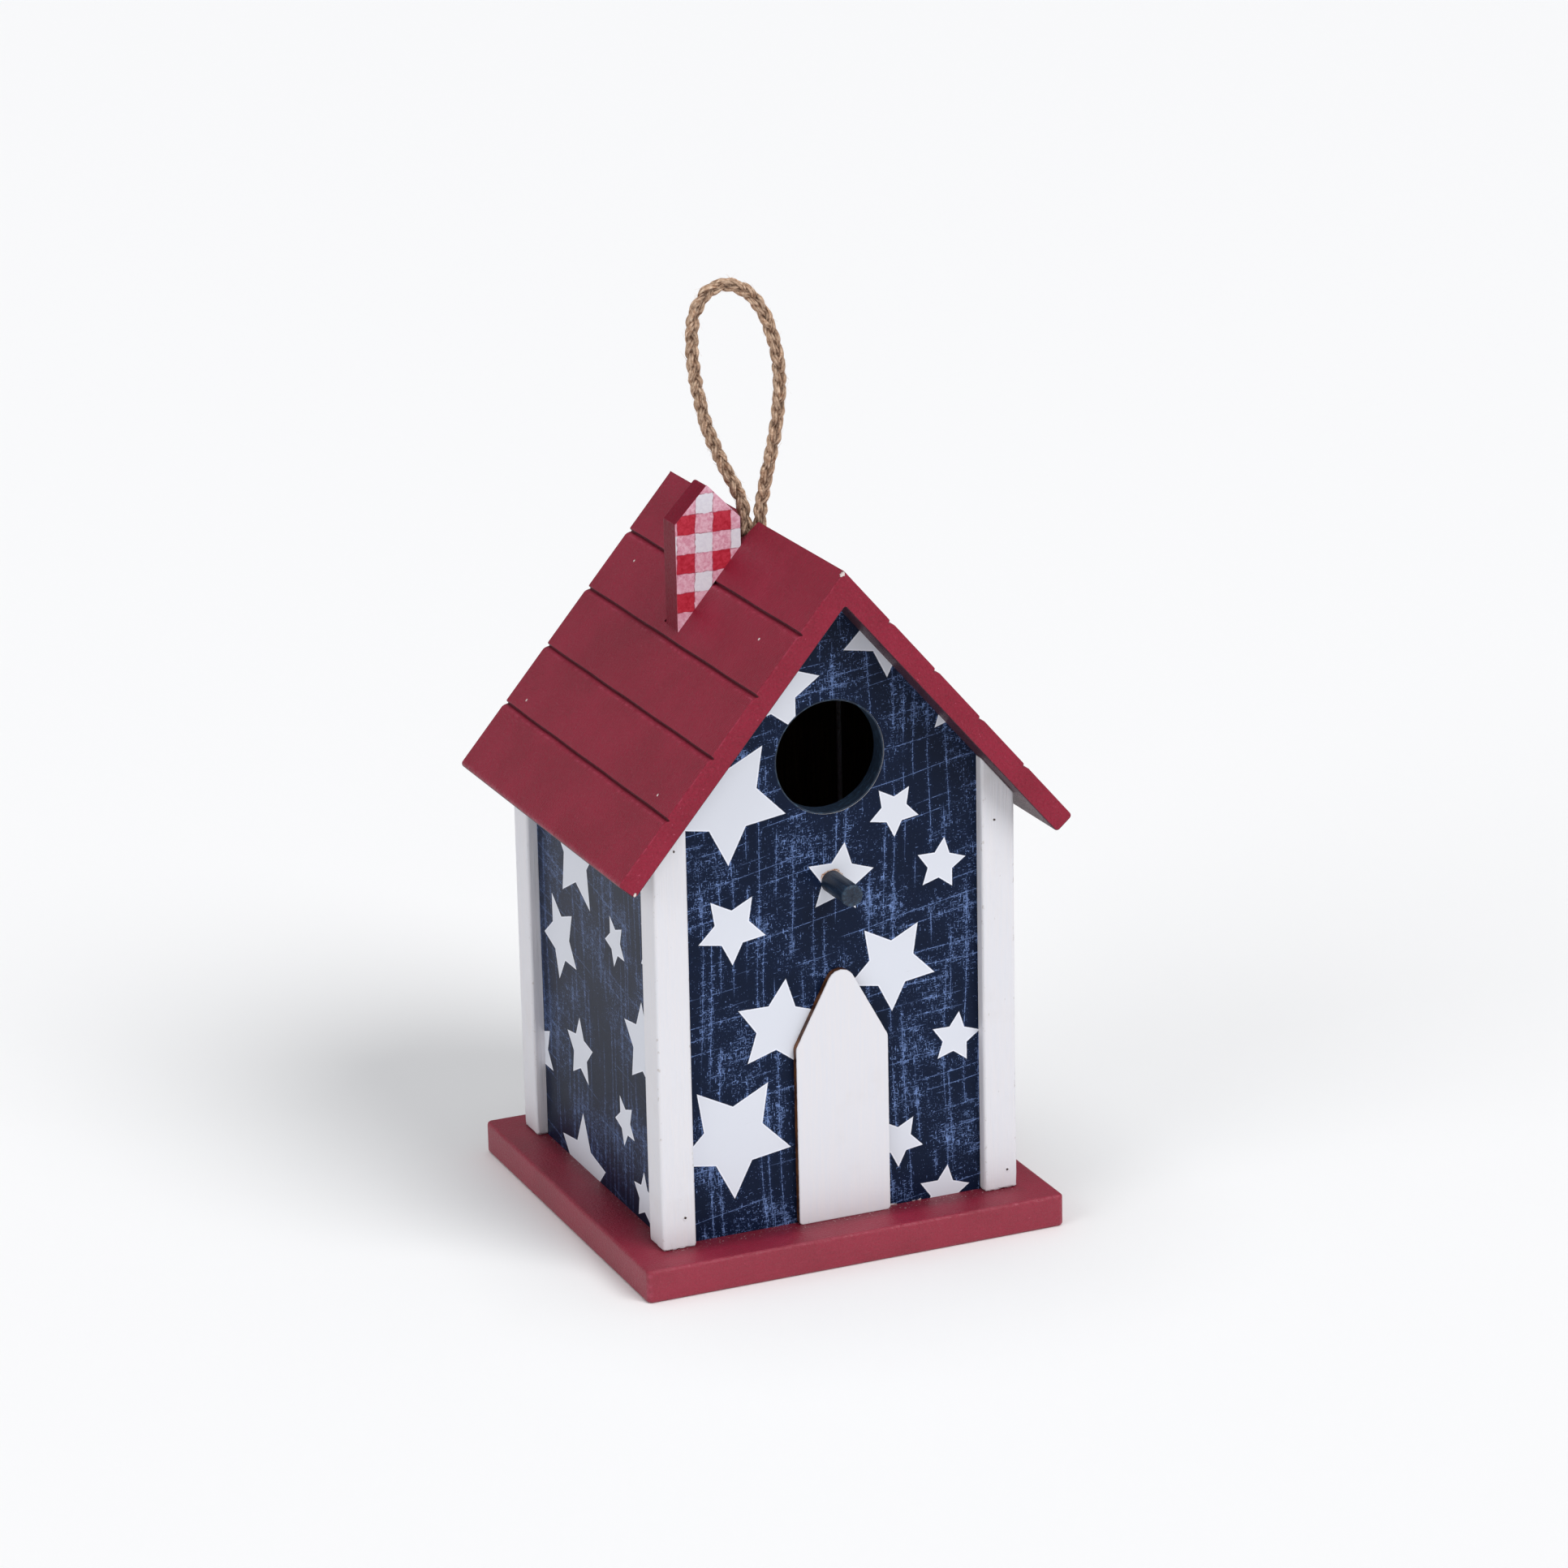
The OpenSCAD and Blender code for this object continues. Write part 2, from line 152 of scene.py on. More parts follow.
# one material and the nodes that make it; place is a point of the surface, in mm
class Paint:
    def __init__(self, name):
        self.material = bpy.data.materials.new(name)
        self.material.use_nodes = True
        self.tree = self.material.node_tree
        self.tree.nodes.clear()
        self.place = self.node("TexCoord", take="Object").vector("SCALE", 1 / mm)

    def node(self, kind, settings=None, *values, take=0, **named):
        made = self.tree.nodes.new("ShaderNode" + kind)
        for key, value in (settings or {}).items():
            setattr(made, key, value)
        for key, value in [*enumerate(values), *named.items()]:
            socket = made.inputs[key.replace("_", " ") if isinstance(key, str) else key]
            if isinstance(value, Link):
                self.tree.links.new(value.socket, socket)
            elif value is not None:
                socket.default_value = value
        link = Vec if made.outputs[take].type == "VECTOR" else Link
        return link(self, made.outputs[take])

    def noise(self, at, scale, detail=2.0, rough=0.5, bend=0.0):
        return self.node("TexNoise", None, Vector=at, Scale=scale, Detail=detail, Roughness=rough,
                         Distortion=bend)

    def mix(self, first, second, share):
        # a colour between first, at share 0, and second, at share 1
        made = self.tree.nodes.new("ShaderNodeMix")
        made.data_type = "RGBA"
        for key, value in ((0, share), (6, first), (7, second)):
            if isinstance(value, Link):
                self.tree.links.new(value.socket, made.inputs[key])
            else:
                made.inputs[key].default_value = value
        return Link(self, made.outputs[2])

    def attribute(self, name):
        return self.node("Attribute", {"attribute_name": name}, take="Fac")

    def finish(self, color, rough, height=None, deep=0.05, strength=0.6, metal=0.0, **fixed):
        # height is the bump's relief and deep its distance in mm; fixed holds plain shader values
        shader = self.tree.nodes.new("ShaderNodeBsdfPrincipled")
        given = {"Base Color": color, "Roughness": rough, "Metallic": metal}
        if height is not None:
            given["Normal"] = self.node("Bump", None, Strength=strength, Distance=deep * mm, Height=height)
        given.update({key.replace("_", " "): value for key, value in fixed.items()})
        for key, value in given.items():
            if isinstance(value, Link):
                self.tree.links.new(value.socket, shader.inputs[key])
            else:
                shader.inputs[key].default_value = value
        output = self.tree.nodes.new("ShaderNodeOutputMaterial")
        self.tree.links.new(shader.outputs[0], output.inputs[0])
        return self.material


class Vec(Link):
    def vector(self, operation, *others):
        named = {"Scale": others[0]} if operation == "SCALE" else {}
        values = () if operation == "SCALE" else others
        take = 1 if operation in ("DISTANCE", "LENGTH") else 0
        settings = {"operation": operation}
        return self.paint.node("VectorMath", settings, self, *values, take=take, **named)

    def part(self, axis):
        return self.paint.node("SeparateXYZ", None, self, take="XYZ".index(axis))

    def fit(self, scale, turn=(0.0, 0.0, 0.0), move=(0.0, 0.0, 0.0)):
        # turned by degrees about X, Y and Z, then scaled and moved
        turned = tuple(math.radians(t) for t in turn)
        return self.paint.node("Mapping", {"vector_type": "POINT"}, self, move, turned, scale)


def srgb(red, green, blue):
    # the linear colour of three values from 0 to 255
    parts = np.array([red, green, blue]) / 255
    linear = np.where(parts <= 0.04045, parts / 12.92, ((parts + 0.055) / 1.055) ** 2.4)
    return (*[float(x) for x in linear], 1.0)


# colours from 0 to 255, as seen on a screen
redTints = {
    "paint": (150, 27, 55),
    "deep": (141, 24, 50),
    "paleWearAndHighlight": (192, 84, 108),
    "chip": (236, 222, 218),
    "under": (74, 40, 52),
    "paintedShade": (58, 10, 20),
}


def brushedRed(name, along=(0.25, 1.0, 0.25), chips=(), under=False, leather=0.8, shade=1.0, gloss=0.28,
               walls=None, paleWearAndHighlight=0.5):
    # satin red over wood: leathery ripple with painted shade in its lows and painted highlight on its
    # crests, thin worn edges, painted highlight and painted shade along the grooves, small pale specks;
    # chips are (place, radius), and walls holds how far the walls reach in X and Y over a base, along whose
    # foot lie painted shade and dust. A shade below 1 darkens the whole colour as painted shade, and
    # downward faces can take a darker, greyer red as painted shade
    paint = Paint(name)
    at = paint.place
    cloud = paint.noise(at, 0.05, 3.0, 0.55)
    color = paint.mix(srgb(*redTints["deep"]), srgb(*redTints["paint"]), cloud.step(0.35, 0.65))
    grain = at.fit((1.0, 1.0, 1.0), (0.0, 30.0, 25.0)).fit((1.3, 2.2, 1.3))
    ripple = paint.noise(grain, 1.0, 3.0, 0.65, 0.4)
    # the ripple's lows take a painted shade and its crests a painted highlight, over the bump that it also
    # shapes
    color = paint.mix(color, srgb(*redTints["paintedShade"]), ripple.step(0.5, 0.3) * leather * 0.28)
    color = paint.mix(color, srgb(*redTints["paleWearAndHighlight"]), ripple.step(0.56, 0.74) * leather * 0.22)
    # the edge attribute above 0 paints pale worn rims and a painted highlight on the grooves' downhill side;
    # below 0 it darkens the grooves as painted shade
    edge = paint.attribute("edge")
    wear = edge * paint.noise(at, 0.6, 3.0, 0.6).step(0.42, 0.66)
    color = paint.mix(color, srgb(*redTints["paleWearAndHighlight"]), wear.most(0.0) * paleWearAndHighlight)
    color = paint.mix(color, srgb(*redTints["paintedShade"]), edge.step(-0.1, -1.0) * 0.5)
    speck = paint.noise(at, 1.3, 1.0, 0.4).step(0.775, 0.80)
    color = paint.mix(color, srgb(*redTints["paleWearAndHighlight"]), speck * 0.7)
    if walls is not None:
        # painted shade and dust lie along the foot of the walls, thinner with distance
        past = (abs(at.part("X")) - walls[0]).most(abs(at.part("Y")) - walls[1])
        dustAndShade = (past + (paint.noise(at, 0.35, 3.0, 0.6) - 0.5) * 2.5).step(5.5, 0.0)
        color = paint.mix(color, srgb(*redTints["paintedShade"]), dustAndShade * 0.45)
        crumb = paint.noise(at, 1.8, 1.0, 0.4).step(0.68, 0.72) * past.step(3.0, 0.8)
        color = paint.mix(color, srgb(*redTints["chip"]), crumb * 0.45)
    if under:
        # downward faces take a darker, greyer red: painted shade under the roof
        low = paint.node("NewGeometry", None, take="Normal").part("Z").step(-0.1, -0.4)
        color = paint.mix(color, srgb(*redTints["under"]), low)
    bare = None
    for place, size in chips:
        away = at.vector("DISTANCE", place)
        spot = (away + (paint.noise(at, 2.2, 2.0) - 0.5) * size * 1.3).step(size, size * 0.75)
        bare = spot if bare is None else bare.most(spot)
    if bare is not None:
        color = paint.mix(color, srgb(*redTints["chip"]), bare)
    # a shade below 1 darkens the whole colour towards black: painted shade
    if shade != 1.0:
        color = paint.mix(color, (0.0, 0.0, 0.0, 1.0), 1.0 - shade)
    brush = paint.noise(at.fit(along), 1.6, 2.0, 0.5)
    height = ripple + brush * 0.3 - (bare * 1.5 if bare is not None else 0.0)
    rough = ripple * 0.25 + 0.28
    return paint.finish(color, rough, height, leather, 0.75, Specular_IOR_Level=gloss)


def whitePaint(name, grain=(1.0, 1.0, 0.04), dots=(), burnt=None, streaks=1.5, relief=0.55):
    # satin white over wood with faint upright brush lines; dots are the places of sunk brads, and
    # burnt is the Y where a cut edge starts
    paint = Paint(name)
    at = paint.place
    streak = paint.noise(at.fit(grain), 1.6, 3.0, 0.6)
    color = paint.mix(srgb(230, 228, 232), srgb(227, 227, 233), streak.step(0.3, 0.7))
    grime = paint.noise(at, 0.07, 3.0, 0.6).step(0.55, 0.85)
    color = paint.mix(color, srgb(214, 208, 206), grime * 0.3)
    wear = paint.attribute("edge") * paint.noise(at, 0.5, 3.0, 0.6).step(0.6, 0.7)
    color = paint.mix(color, srgb(172, 160, 152), wear * 0.5)
    mark = paint.noise(at.fit((0.8, 0.8, 0.3)), 1.0, 3.0, 0.5).step(0.735, 0.77)
    color = paint.mix(color, srgb(186, 180, 178), mark * 0.45)
    if burnt is not None:
        # the colour of a cut edge, from its distance behind the painted face
        char = paint.noise(at, 0.35, 3.0, 0.6)
        brown = paint.mix(srgb(58, 30, 16), srgb(112, 70, 40), char.step(0.35, 0.7))
        rim = (at.part("Y") + (paint.noise(at, 1.1, 2.0) - 0.5) * 0.35).step(burnt, burnt + 0.22)
        color = paint.mix(color, brown, rim)
    hole = None
    for place in dots:
        away = at.vector("DISTANCE", place) + (paint.noise(at, 3.0, 1.0) - 0.5) * 0.5
        spot = away.step(0.42, 0.26)
        hole = spot if hole is None else hole.most(spot)
    if hole is not None:
        color = paint.mix(color, srgb(58, 40, 34), hole)
    rough = streak * 0.1 + 0.4
    height = streak * streaks + paint.noise(at, 0.9, 2.0) * 0.4
    return paint.finish(color, rough, height, 0.2, relief, Specular_IOR_Level=0.3)


# stars as (across, height, radius, degrees a tip is turned by), all but the last in mm
starShape = {"inner": 0.51, "edge": 0.09}
frontStars = [
    (-28.9, 128.1, 17.1, 53.8), (-15.1, 156.4, 12.8, 8.7), (16.6, 168.1, 12.8, 53.8),
    (18.0, 119.1, 7.3, 53.8), (31.1, 102.4, 7.3, 8.7), (2.2, 102.8, 9.8, 8.7),
    (-28.4, 93.7, 9.9, 53.8), (16.6, 76.8, 13.0, 53.8), (-15.7, 65.0, 12.9, 8.7),
    (34.8, 53.3, 7.3, 8.7), (-29.4, 36.1, 17.1, 53.8), (17.8, 27.0, 7.5, 53.8),
    (30.9, 10.1, 7.6, 8.7), (35.1, 145.0, 7.3, 8.7),
]
sideStars = [
    (14.2, 99.8, 17.0, 18.4), (27.1, 71.4, 12.5, 63.0), (-13.3, 82.8, 7.2, 62.7),
    (15.2, 42.7, 9.7, 19.1), (-30.6, 59.0, 12.8, 19.2), (45.0, 34.0, 9.5, 63.0),
    (-16.6, 33.4, 7.2, 62.5), (14.9, 8.4, 16.5, 18.8), (-29.0, 16.0, 7.5, 19.2),
    (-24.0, 112.0, 12.8, 63.0), (-40.0, 88.0, 9.7, 40.0),
]
printTints = {
    "ground": (8, 22, 46),
    "wash": (22, 40, 78),
    "thread": (122, 149, 204),
    "star": (223, 226, 235),
    "rim": (240, 242, 252),
}


def nearestStar(across, up, stars):
    # distance in mm past the edge of the nearest five-pointed star, negative inside it: each
    # star is folded about its tips into one slanting line from a tip to a notch
    fold = math.pi / 5
    run = (starShape["inner"] * math.sin(fold), 1 - starShape["inner"] * math.cos(fold))
    size = math.hypot(*run)
    nearest = None
    for x, z, radius, turn in stars:
        dx = across - x
        dz = up - z
        away = (dx * dx + dz * dz) ** 0.5
        angle = abs((dz.math("ARCTAN2", dx) - math.radians(turn)).math("WRAP", fold, -fold))
        edge = (away * angle.math("COSINE") - radius) * (run[0] / size)
        edge = edge + away * angle.math("SINE") * (run[1] / size)
        nearest = edge if nearest is None else nearest.least(edge)
    return nearest


def scratches(paint, across, along, gap, seed, rare):
    # distance in mm to a family of nearly straight lines, one in each gap, and where they show
    flat = paint.node("CombineXYZ", None, across, along, seed)
    wander = paint.noise(flat.fit((0.03, 0.016, 1.0)), 1.0, 1.0) * 2.2
    cell = across / gap + wander
    number = cell.math("FLOOR")
    chance = paint.node("TexWhiteNoise", {"noise_dimensions": "1D"}, W=number + seed)
    away = abs(cell - number - 0.2 - chance * 0.6) * gap
    run = paint.node("CombineXYZ", None, number * 3.7, along * 0.035, seed)
    return away, paint.noise(run, 1.0, 2.0).step(rare, rare + 0.08)


def starPrint(name, stars, across, flip=1.0, shift=0.0, tear=None, shown=1.0, frayed=1.0):
    # printed paper: worn cloth threads in two directions over navy, and pale stars; flip turns the
    # pattern round, shift takes other noise, and shown is how clear the threads are
    paint = Paint(name)
    at = paint.place
    wide = at.part(across) * flip
    up = at.part("Z")
    flat = paint.node("CombineXYZ", None, wide, up, shift)
    tilted = flat.fit((1.0, 1.0, 1.0), (0.0, 0.0, -9.0))
    patch = paint.noise(flat, 0.06, 3.0, 0.6).step(0.36, 0.68)
    dots = paint.noise(flat, 2.3, 1.0, 0.5)
    toUprightOne, someUp = scratches(paint, wide, up, 3.3, 0.2, 0.46)
    toRisingOne, someRising = scratches(paint, tilted.part("Y"), tilted.part("X"), 4.2, 7.3, 0.51)
    scratchUp = toUprightOne.step(0.17, 0.07) * someUp * dots.step(0.40, 0.50)
    scratchRising = toRisingOne.step(0.12, 0.04) * someRising * dots.step(0.32, 0.46)
    # worn cloth: short dashes on both threads, thicker beside the scratches and in patches
    dashUp = paint.noise(flat.fit((2.9, 0.5, 1.0)), 1.0, 2.0, 0.6)
    nearLevel = flat.fit((1.0, 1.0, 1.0), (0.0, 0.0, -5.0))
    dashLevel = paint.noise(nearLevel.fit((0.55, 3.0, 1.0)), 1.0, 2.0, 0.6)
    near = (toUprightOne.step(1.4, 0.0) * someUp).most(toRisingOne.step(1.0, 0.0) * someRising * 0.7)
    dense = patch * 0.13 + near * 0.08
    weave = (dashUp.most(dashLevel) + dense).step(0.705, 0.765)
    fleck = (dots + dense * 0.8).step(0.73, 0.775)
    threads = weave.most(fleck).most(scratchUp * 0.85).most(scratchRising)
    haze = patch * 0.22 + near * 0.2
    ground = paint.mix(srgb(*printTints["ground"]), srgb(*printTints["wash"]), haze)
    tone = paint.noise(flat, 0.8, 1.0).step(0.3, 0.7) * 0.55 + 0.36
    color = paint.mix(ground, srgb(*printTints["thread"]), threads * tone * shown)
    edge = nearestStar(wide, up, stars) + (paint.noise(flat, 1.4, 2.0) - 0.5) * 0.16
    inside = edge.step(starShape["edge"], -starShape["edge"])
    rim = edge.step(0.12, 0.0) * edge.step(-0.5, -0.1)
    star = paint.mix(srgb(*printTints["star"]), srgb(*printTints["rim"]), rim)
    scuff = paint.noise(tilted.fit((0.12, 2.4, 1.0), (0.0, 0.0, -25.0)), 1.0, 3.0, 0.6).step(0.71, 0.76)
    star = paint.mix(star, srgb(186, 184, 192), scuff * 0.5)
    color = paint.mix(color, star, inside)
    if tear is not None:
        # paper torn and lifted above a pushed-in dowel
        away = flat.vector("DISTANCE", (tear[0], tear[1], shift))
        away = away + (paint.noise(flat, 0.8, 2.0) - 0.5) * 1.3
        torn = away.step(3.6, 3.3) * (up - tear[1]).step(0.3, 1.8)
        fibre = paint.mix(srgb(172, 122, 92), srgb(222, 206, 196), dots.step(0.4, 0.6))
        color = paint.mix(color, fibre, torn)
    # the cut edge of the paper is white
    facing = abs(paint.node("NewGeometry", None, take="Normal").part("Y" if across == "X" else "X"))
    color = paint.mix(srgb(224, 222, 220), color, facing.step(0.3, 0.6))
    foot = (up + (paint.noise(flat, 0.5, 3.0) - 0.5) * 2.0).step(baseTop + 0.45, baseTop + 0.15)
    frays = foot * paint.noise(flat, 0.3, 2.0).step(0.56, 0.6) * frayed
    color = paint.mix(color, srgb(214, 204, 202), frays)
    rough = dashUp * 0.1 + 0.36
    height = dots * 0.5 + threads * 0.12
    return paint.finish(color, rough, height, 0.05, 0.3, Specular_IOR_Level=0.12)


# where a column and a row start and how wide they are, in mm, and how columns lean from a height
checkSizes = {
    "columnStart": -18.1,
    "column": 5.05,
    "rowStart": 166.5,
    "row": 5.22,
    "lean": 0.035,
    "leanFrom": 180.0,
}


def checkPrint(name):
    # hand-drawn gingham: red where two coloured bands cross, pink where one runs alone
    paint = Paint(name)
    at = paint.place
    wobble = (paint.noise(at, 0.42, 2.0) - 0.5) * 0.9
    lean = (at.part("Z") - checkSizes["leanFrom"]) * checkSizes["lean"]
    across = at.part("X") - checkSizes["columnStart"] - lean + wobble
    beside = at.fit((1.0, 1.0, 1.0), move=(9.0, 0.0, 0.0))
    up = at.part("Z") - checkSizes["rowStart"] + (paint.noise(beside, 0.4, 2.0) - 0.5) * 0.9
    column = (across / (2 * checkSizes["column"])).math("FRACT")
    row = (up / (2 * checkSizes["row"])).math("FRACT")
    inColumn = column.step(0.49, 0.51)
    inRow = row.step(0.51, 0.49)
    wash = paint.noise(at, 0.8, 4.0, 0.7, 0.5).step(0.32, 0.68)
    pink = paint.mix(srgb(214, 142, 164), srgb(238, 196, 210), wash)
    red = paint.mix(srgb(176, 28, 48), srgb(202, 56, 76), wash)
    bright = paint.mix(srgb(234, 234, 241), srgb(224, 223, 233), wash)
    color = paint.mix(paint.mix(bright, pink, inColumn.most(inRow)), red, inColumn * inRow)
    toLine = abs((column * 2.0).math("FRACT") - 0.5).most(abs((row * 2.0).math("FRACT") - 0.5))
    thin = (toLine + (paint.noise(at, 1.6, 2.0) - 0.5) * 0.03).step(0.465, 0.485)
    color = paint.mix(color, srgb(150, 36, 66), thin * paint.noise(at, 0.7, 2.0).step(0.3, 0.6) * 0.7)
    facing = abs(paint.node("NewGeometry", None, take="Normal").part("Y"))
    color = paint.mix(srgb(*redTints["paint"]), color, facing.step(0.3, 0.6))
    return paint.finish(color, 0.42, paint.noise(at, 2.4, 2.0), 0.05, 0.3, Specular_IOR_Level=0.4)


def navyPaint(name):
    # brushed navy with paler blue where the grain stands proud
    paint = Paint(name)
    at = paint.place
    grain = paint.noise(at.fit((1.4, 0.12, 1.4)), 1.5, 3.0, 0.65)
    color = paint.mix(srgb(14, 29, 48), srgb(38, 64, 90), grain.step(0.42, 0.8))
    wear = paint.attribute("edge") * paint.noise(at, 1.4, 3.0).step(0.4, 0.62)
    color = paint.mix(color, srgb(92, 130, 158), wear * 0.14)
    return paint.finish(color, grain * 0.15 + 0.4, grain + paint.noise(at, 1.5, 2.0) * 0.6, 0.2, 0.6)


def plyWood(name, hole=None):
    # bare plywood inside, its colour darkened as painted shade of the dim box; hole is an opening's middle,
    # as (x, z), and radius, whose cut is painted
    paint = Paint(name)
    at = paint.place
    grain = paint.noise(at.fit((0.9, 0.9, 0.06)), 1.0, 4.0, 0.65, 1.0)
    # the wood's colour is kept dark: painted shade for the inside of the box
    color = paint.mix(srgb(74, 56, 42), srgb(104, 82, 62), grain.step(0.3, 0.7))
    layer = paint.noise(at.fit((0.02, 1.2, 0.02)), 1.0, 1.0).step(0.48, 0.52)
    color = paint.mix(color, srgb(56, 42, 32), layer * 0.4)
    if hole is not None:
        (x, z), radius = hole
        flat = paint.node("CombineXYZ", None, at.part("X") - x, 0.0, at.part("Z") - z)
        reach = flat.vector("LENGTH") + (paint.noise(at, 0.6, 2.0) - 0.5) * 0.8
        brush = paint.noise(at.fit((0.5, 1.6, 0.5)), 1.2, 3.0, 0.6)
        painted = paint.mix(srgb(22, 38, 58), srgb(52, 82, 108), brush.step(0.45, 0.8))
        color = paint.mix(color, painted, reach.step(radius + 1.0, radius + 0.6))
    return paint.finish(color, 0.62, grain, 0.12, 0.5)


def steel(name):
    # zinc plate with a faint brushed grain
    paint = Paint(name)
    at = paint.place
    brush = paint.noise(at.fit((1.0, 6.0, 1.0)), 2.0, 3.0)
    color = paint.mix(srgb(150, 150, 154), srgb(196, 196, 200), brush)
    return paint.finish(color, brush * 0.2 + 0.28, brush, 0.05, 0.3, metal=1.0)


def jute(name):
    # golden brown fibre: the piece's own attributes say how far along and how deep a point is; deep points
    # take painted shade
    paint = Paint(name)
    at = paint.place
    deep = paint.attribute("deep")
    strand = paint.attribute("strand")
    yarn = paint.attribute("yarn")
    mottle = paint.noise(at, 0.9, 4.0, 0.65)
    turned = paint.node("CombineXYZ", None, yarn * 13.0, paint.attribute("along") * 0.8, strand * 7.0)
    fine = paint.noise(turned, 1.0, 4.0, 0.75)
    color = paint.mix(srgb(162, 121, 93), srgb(238, 208, 180), (mottle * 0.4 + fine * 0.7).step(0.42, 0.68))
    color = paint.mix(color, srgb(254, 244, 228), fine.step(0.60, 0.74) * 0.7)
    # points deep in the crevices between strands and yarns are darkened as painted shade
    color = paint.mix(color, srgb(70, 44, 32), deep.step(0.3, 0.95) * 0.8)
    color = paint.mix(color, srgb(92, 62, 44), fine.step(0.44, 0.3) * 0.8)
    return paint.finish(color, 0.75, fine * 1.2 + mottle * 0.6, 0.35, 1.0, Specular_IOR_Level=0.2)


def gridFaces(rings, around):
    # quads between neighbouring rings of a closed tube
    ring, step = np.meshgrid(np.arange(rings - 1), np.arange(around), indexing="ij")
    nextStep = (step + 1) % around
    here, above = ring * around, (ring + 1) * around
    corners = (here + step, here + nextStep, above + nextStep, above + step)
    return np.stack(corners, axis=-1).reshape(-1, 4).tolist()


def makePiece(name, points, faces, material, body="house", replaces=(), attributes=None, sharp=38.0):
    # points in mm; every piece keeps its place in its mesh
    mesh = bpy.data.meshes.new(name)
    mesh.from_pydata((np.asarray(points, float) * mm).tolist(), [], faces)
    for key, values in (attributes or {}).items():
        layer = mesh.attributes.new(key, "FLOAT", "POINT")
        layer.data.foreach_set("value", np.asarray(values, np.float32))
    mesh.validate()
    mesh.shade_smooth()
    mesh.set_sharp_from_angle(angle=math.radians(sharp))
    mesh.update()
    piece = bpy.data.objects.new(name, mesh)
    bpy.context.scene.collection.objects.link(piece)
    mesh.materials.append(material)
    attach(piece, body)
    if replaces:
        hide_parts(*replaces)
    return piece


def roundedOutline(corners, radii, gap, steps=5):
    # a closed outline whose corners are arcs: each arc leaves its two sides at the distance
    # radius * tan(half the turn); straight stretches get a point at least every gap.
    # The second result is 1 in the middle of an arc and 0 on the straights.
    corners = np.array(corners, float)
    points, rounds = [], []
    for i, corner in enumerate(corners):
        before = corners[i - 1] - corner
        after = corners[(i + 1) % len(corners)] - corner
        a = before / np.linalg.norm(before)
        b = after / np.linalg.norm(after)
        half = math.acos(np.clip(a @ b, -1, 1)) / 2
        cut = radii[i] / math.tan(half)
        start, end = corner + a * cut, corner + b * cut
        centre = corner + (a + b) / np.linalg.norm(a + b) * radii[i] / math.sin(half)
        turn = np.linspace(0, 1, steps + 1)[:, None]
        chord = start * (1 - turn) + end * turn - centre
        arc = centre + chord / np.linalg.norm(chord, axis=1)[:, None] * radii[i]
        points.append(arc)
        rounds.append(np.sin(np.linspace(0, math.pi, steps + 1)) ** 0.5)
    outline, soft = [], []
    for i in range(len(corners)):
        outline.append(points[i])
        soft.append(rounds[i])
        start, end = points[i][-1], points[(i + 1) % len(corners)][0]
        count = max(1, int(np.linalg.norm(end - start) / gap))
        t = np.linspace(0, 1, count + 1)[1:-1, None]
        outline.append(start * (1 - t) + end * t)
        soft.append(np.zeros(len(t)))
    return np.concatenate(outline), np.concatenate(soft)


def inward(outline):
    # mitred unit normals that point into an outline that runs counter-clockwise
    ahead = np.roll(outline, -1, axis=0) - outline
    ahead /= np.maximum(np.linalg.norm(ahead, axis=1), 1e-9)[:, None]
    behind = np.roll(ahead, 1, axis=0)
    normal = np.stack([-(ahead + behind)[:, 1], (ahead + behind)[:, 0]], axis=1)
    normal /= np.maximum(np.linalg.norm(normal, axis=1), 1e-9)[:, None]
    widen = 1 / np.maximum(np.abs((normal * np.stack([-ahead[:, 1], ahead[:, 0]], axis=1)).sum(1)), 0.5)
    return normal * widen[:, None]


def prism(outline, soft, low, high, round0, round1, gap, hold=None, steps=4):
    # an outline carried from low to high, its two rims rolled over by quarter circles: at an
    # angle a the ring is inset by round * (1 - sin a) and stands round * (1 - cos a) in. The
    # third result is how pale each point is painted, from 0 to 1, for worn rims and painted highlight, or
    # how dark, from 0 to -1, for painted shade in hollows
    normal = inward(outline) * (1 if hold is None else hold[:, None])
    quarter = np.linspace(0, math.pi / 2, steps + 1)
    inset, height, paleWearAndHighlight = [], [], []
    for size, start, way in ((round0, low, 1), (round1, high, -1)):
        part = [(size + 0.35, start, 0.0)]
        part += [(size * (1 - math.sin(a)), start + way * size * (1 - math.cos(a)), 0.65 * math.sin(2 * a))
                 for a in quarter]
        part += [(0.0, start + way * (size + 0.35), 0.0)]
        part = part if way == 1 else part[::-1]
        if way == 1:
            first = part
        else:
            count = max(2, int(abs(high - low) / gap))
            middle = np.linspace(first[-1][1], part[0][1], count + 1)[1:-1]
            part = [(0.0, z, 0.0) for z in middle] + part
        inset += [p[0] for p in part]
        height += [p[1] for p in part]
        paleWearAndHighlight += [p[2] for p in part]
    inset, height, paleWearAndHighlight = (np.array(x)[:, None] for x in (inset, height, paleWearAndHighlight))
    flat = outline[None] + normal[None] * inset[:, :, None]
    points = np.concatenate([flat, np.broadcast_to(height[:, :, None], (*flat.shape[:2], 1))], axis=2)
    rings, around = flat.shape[:2]
    edge = np.clip(paleWearAndHighlight + np.broadcast_to(soft, (rings, around)) * (inset < 0.01), -1, 1)
    faces = gridFaces(rings, around)
    faces.append(list(range(around))[::-1])
    faces.append([(rings - 1) * around + i for i in range(around)])
    return points.reshape(-1, 3), faces, edge.ravel()


# the rope, in mm
ropeSizes = {
    "across": 3.8,
    "plait": 11.4,  # length of a strand's whole wave
    "swing": 0.84,  # how far a strand swings to each side
    "dip": 0.46,
    "strand": 0.97,
    "yarns": 6,
    "hairs": 950,
    "hairLong": (1.0, 4.0),
    "hairThick": 0.036,
}
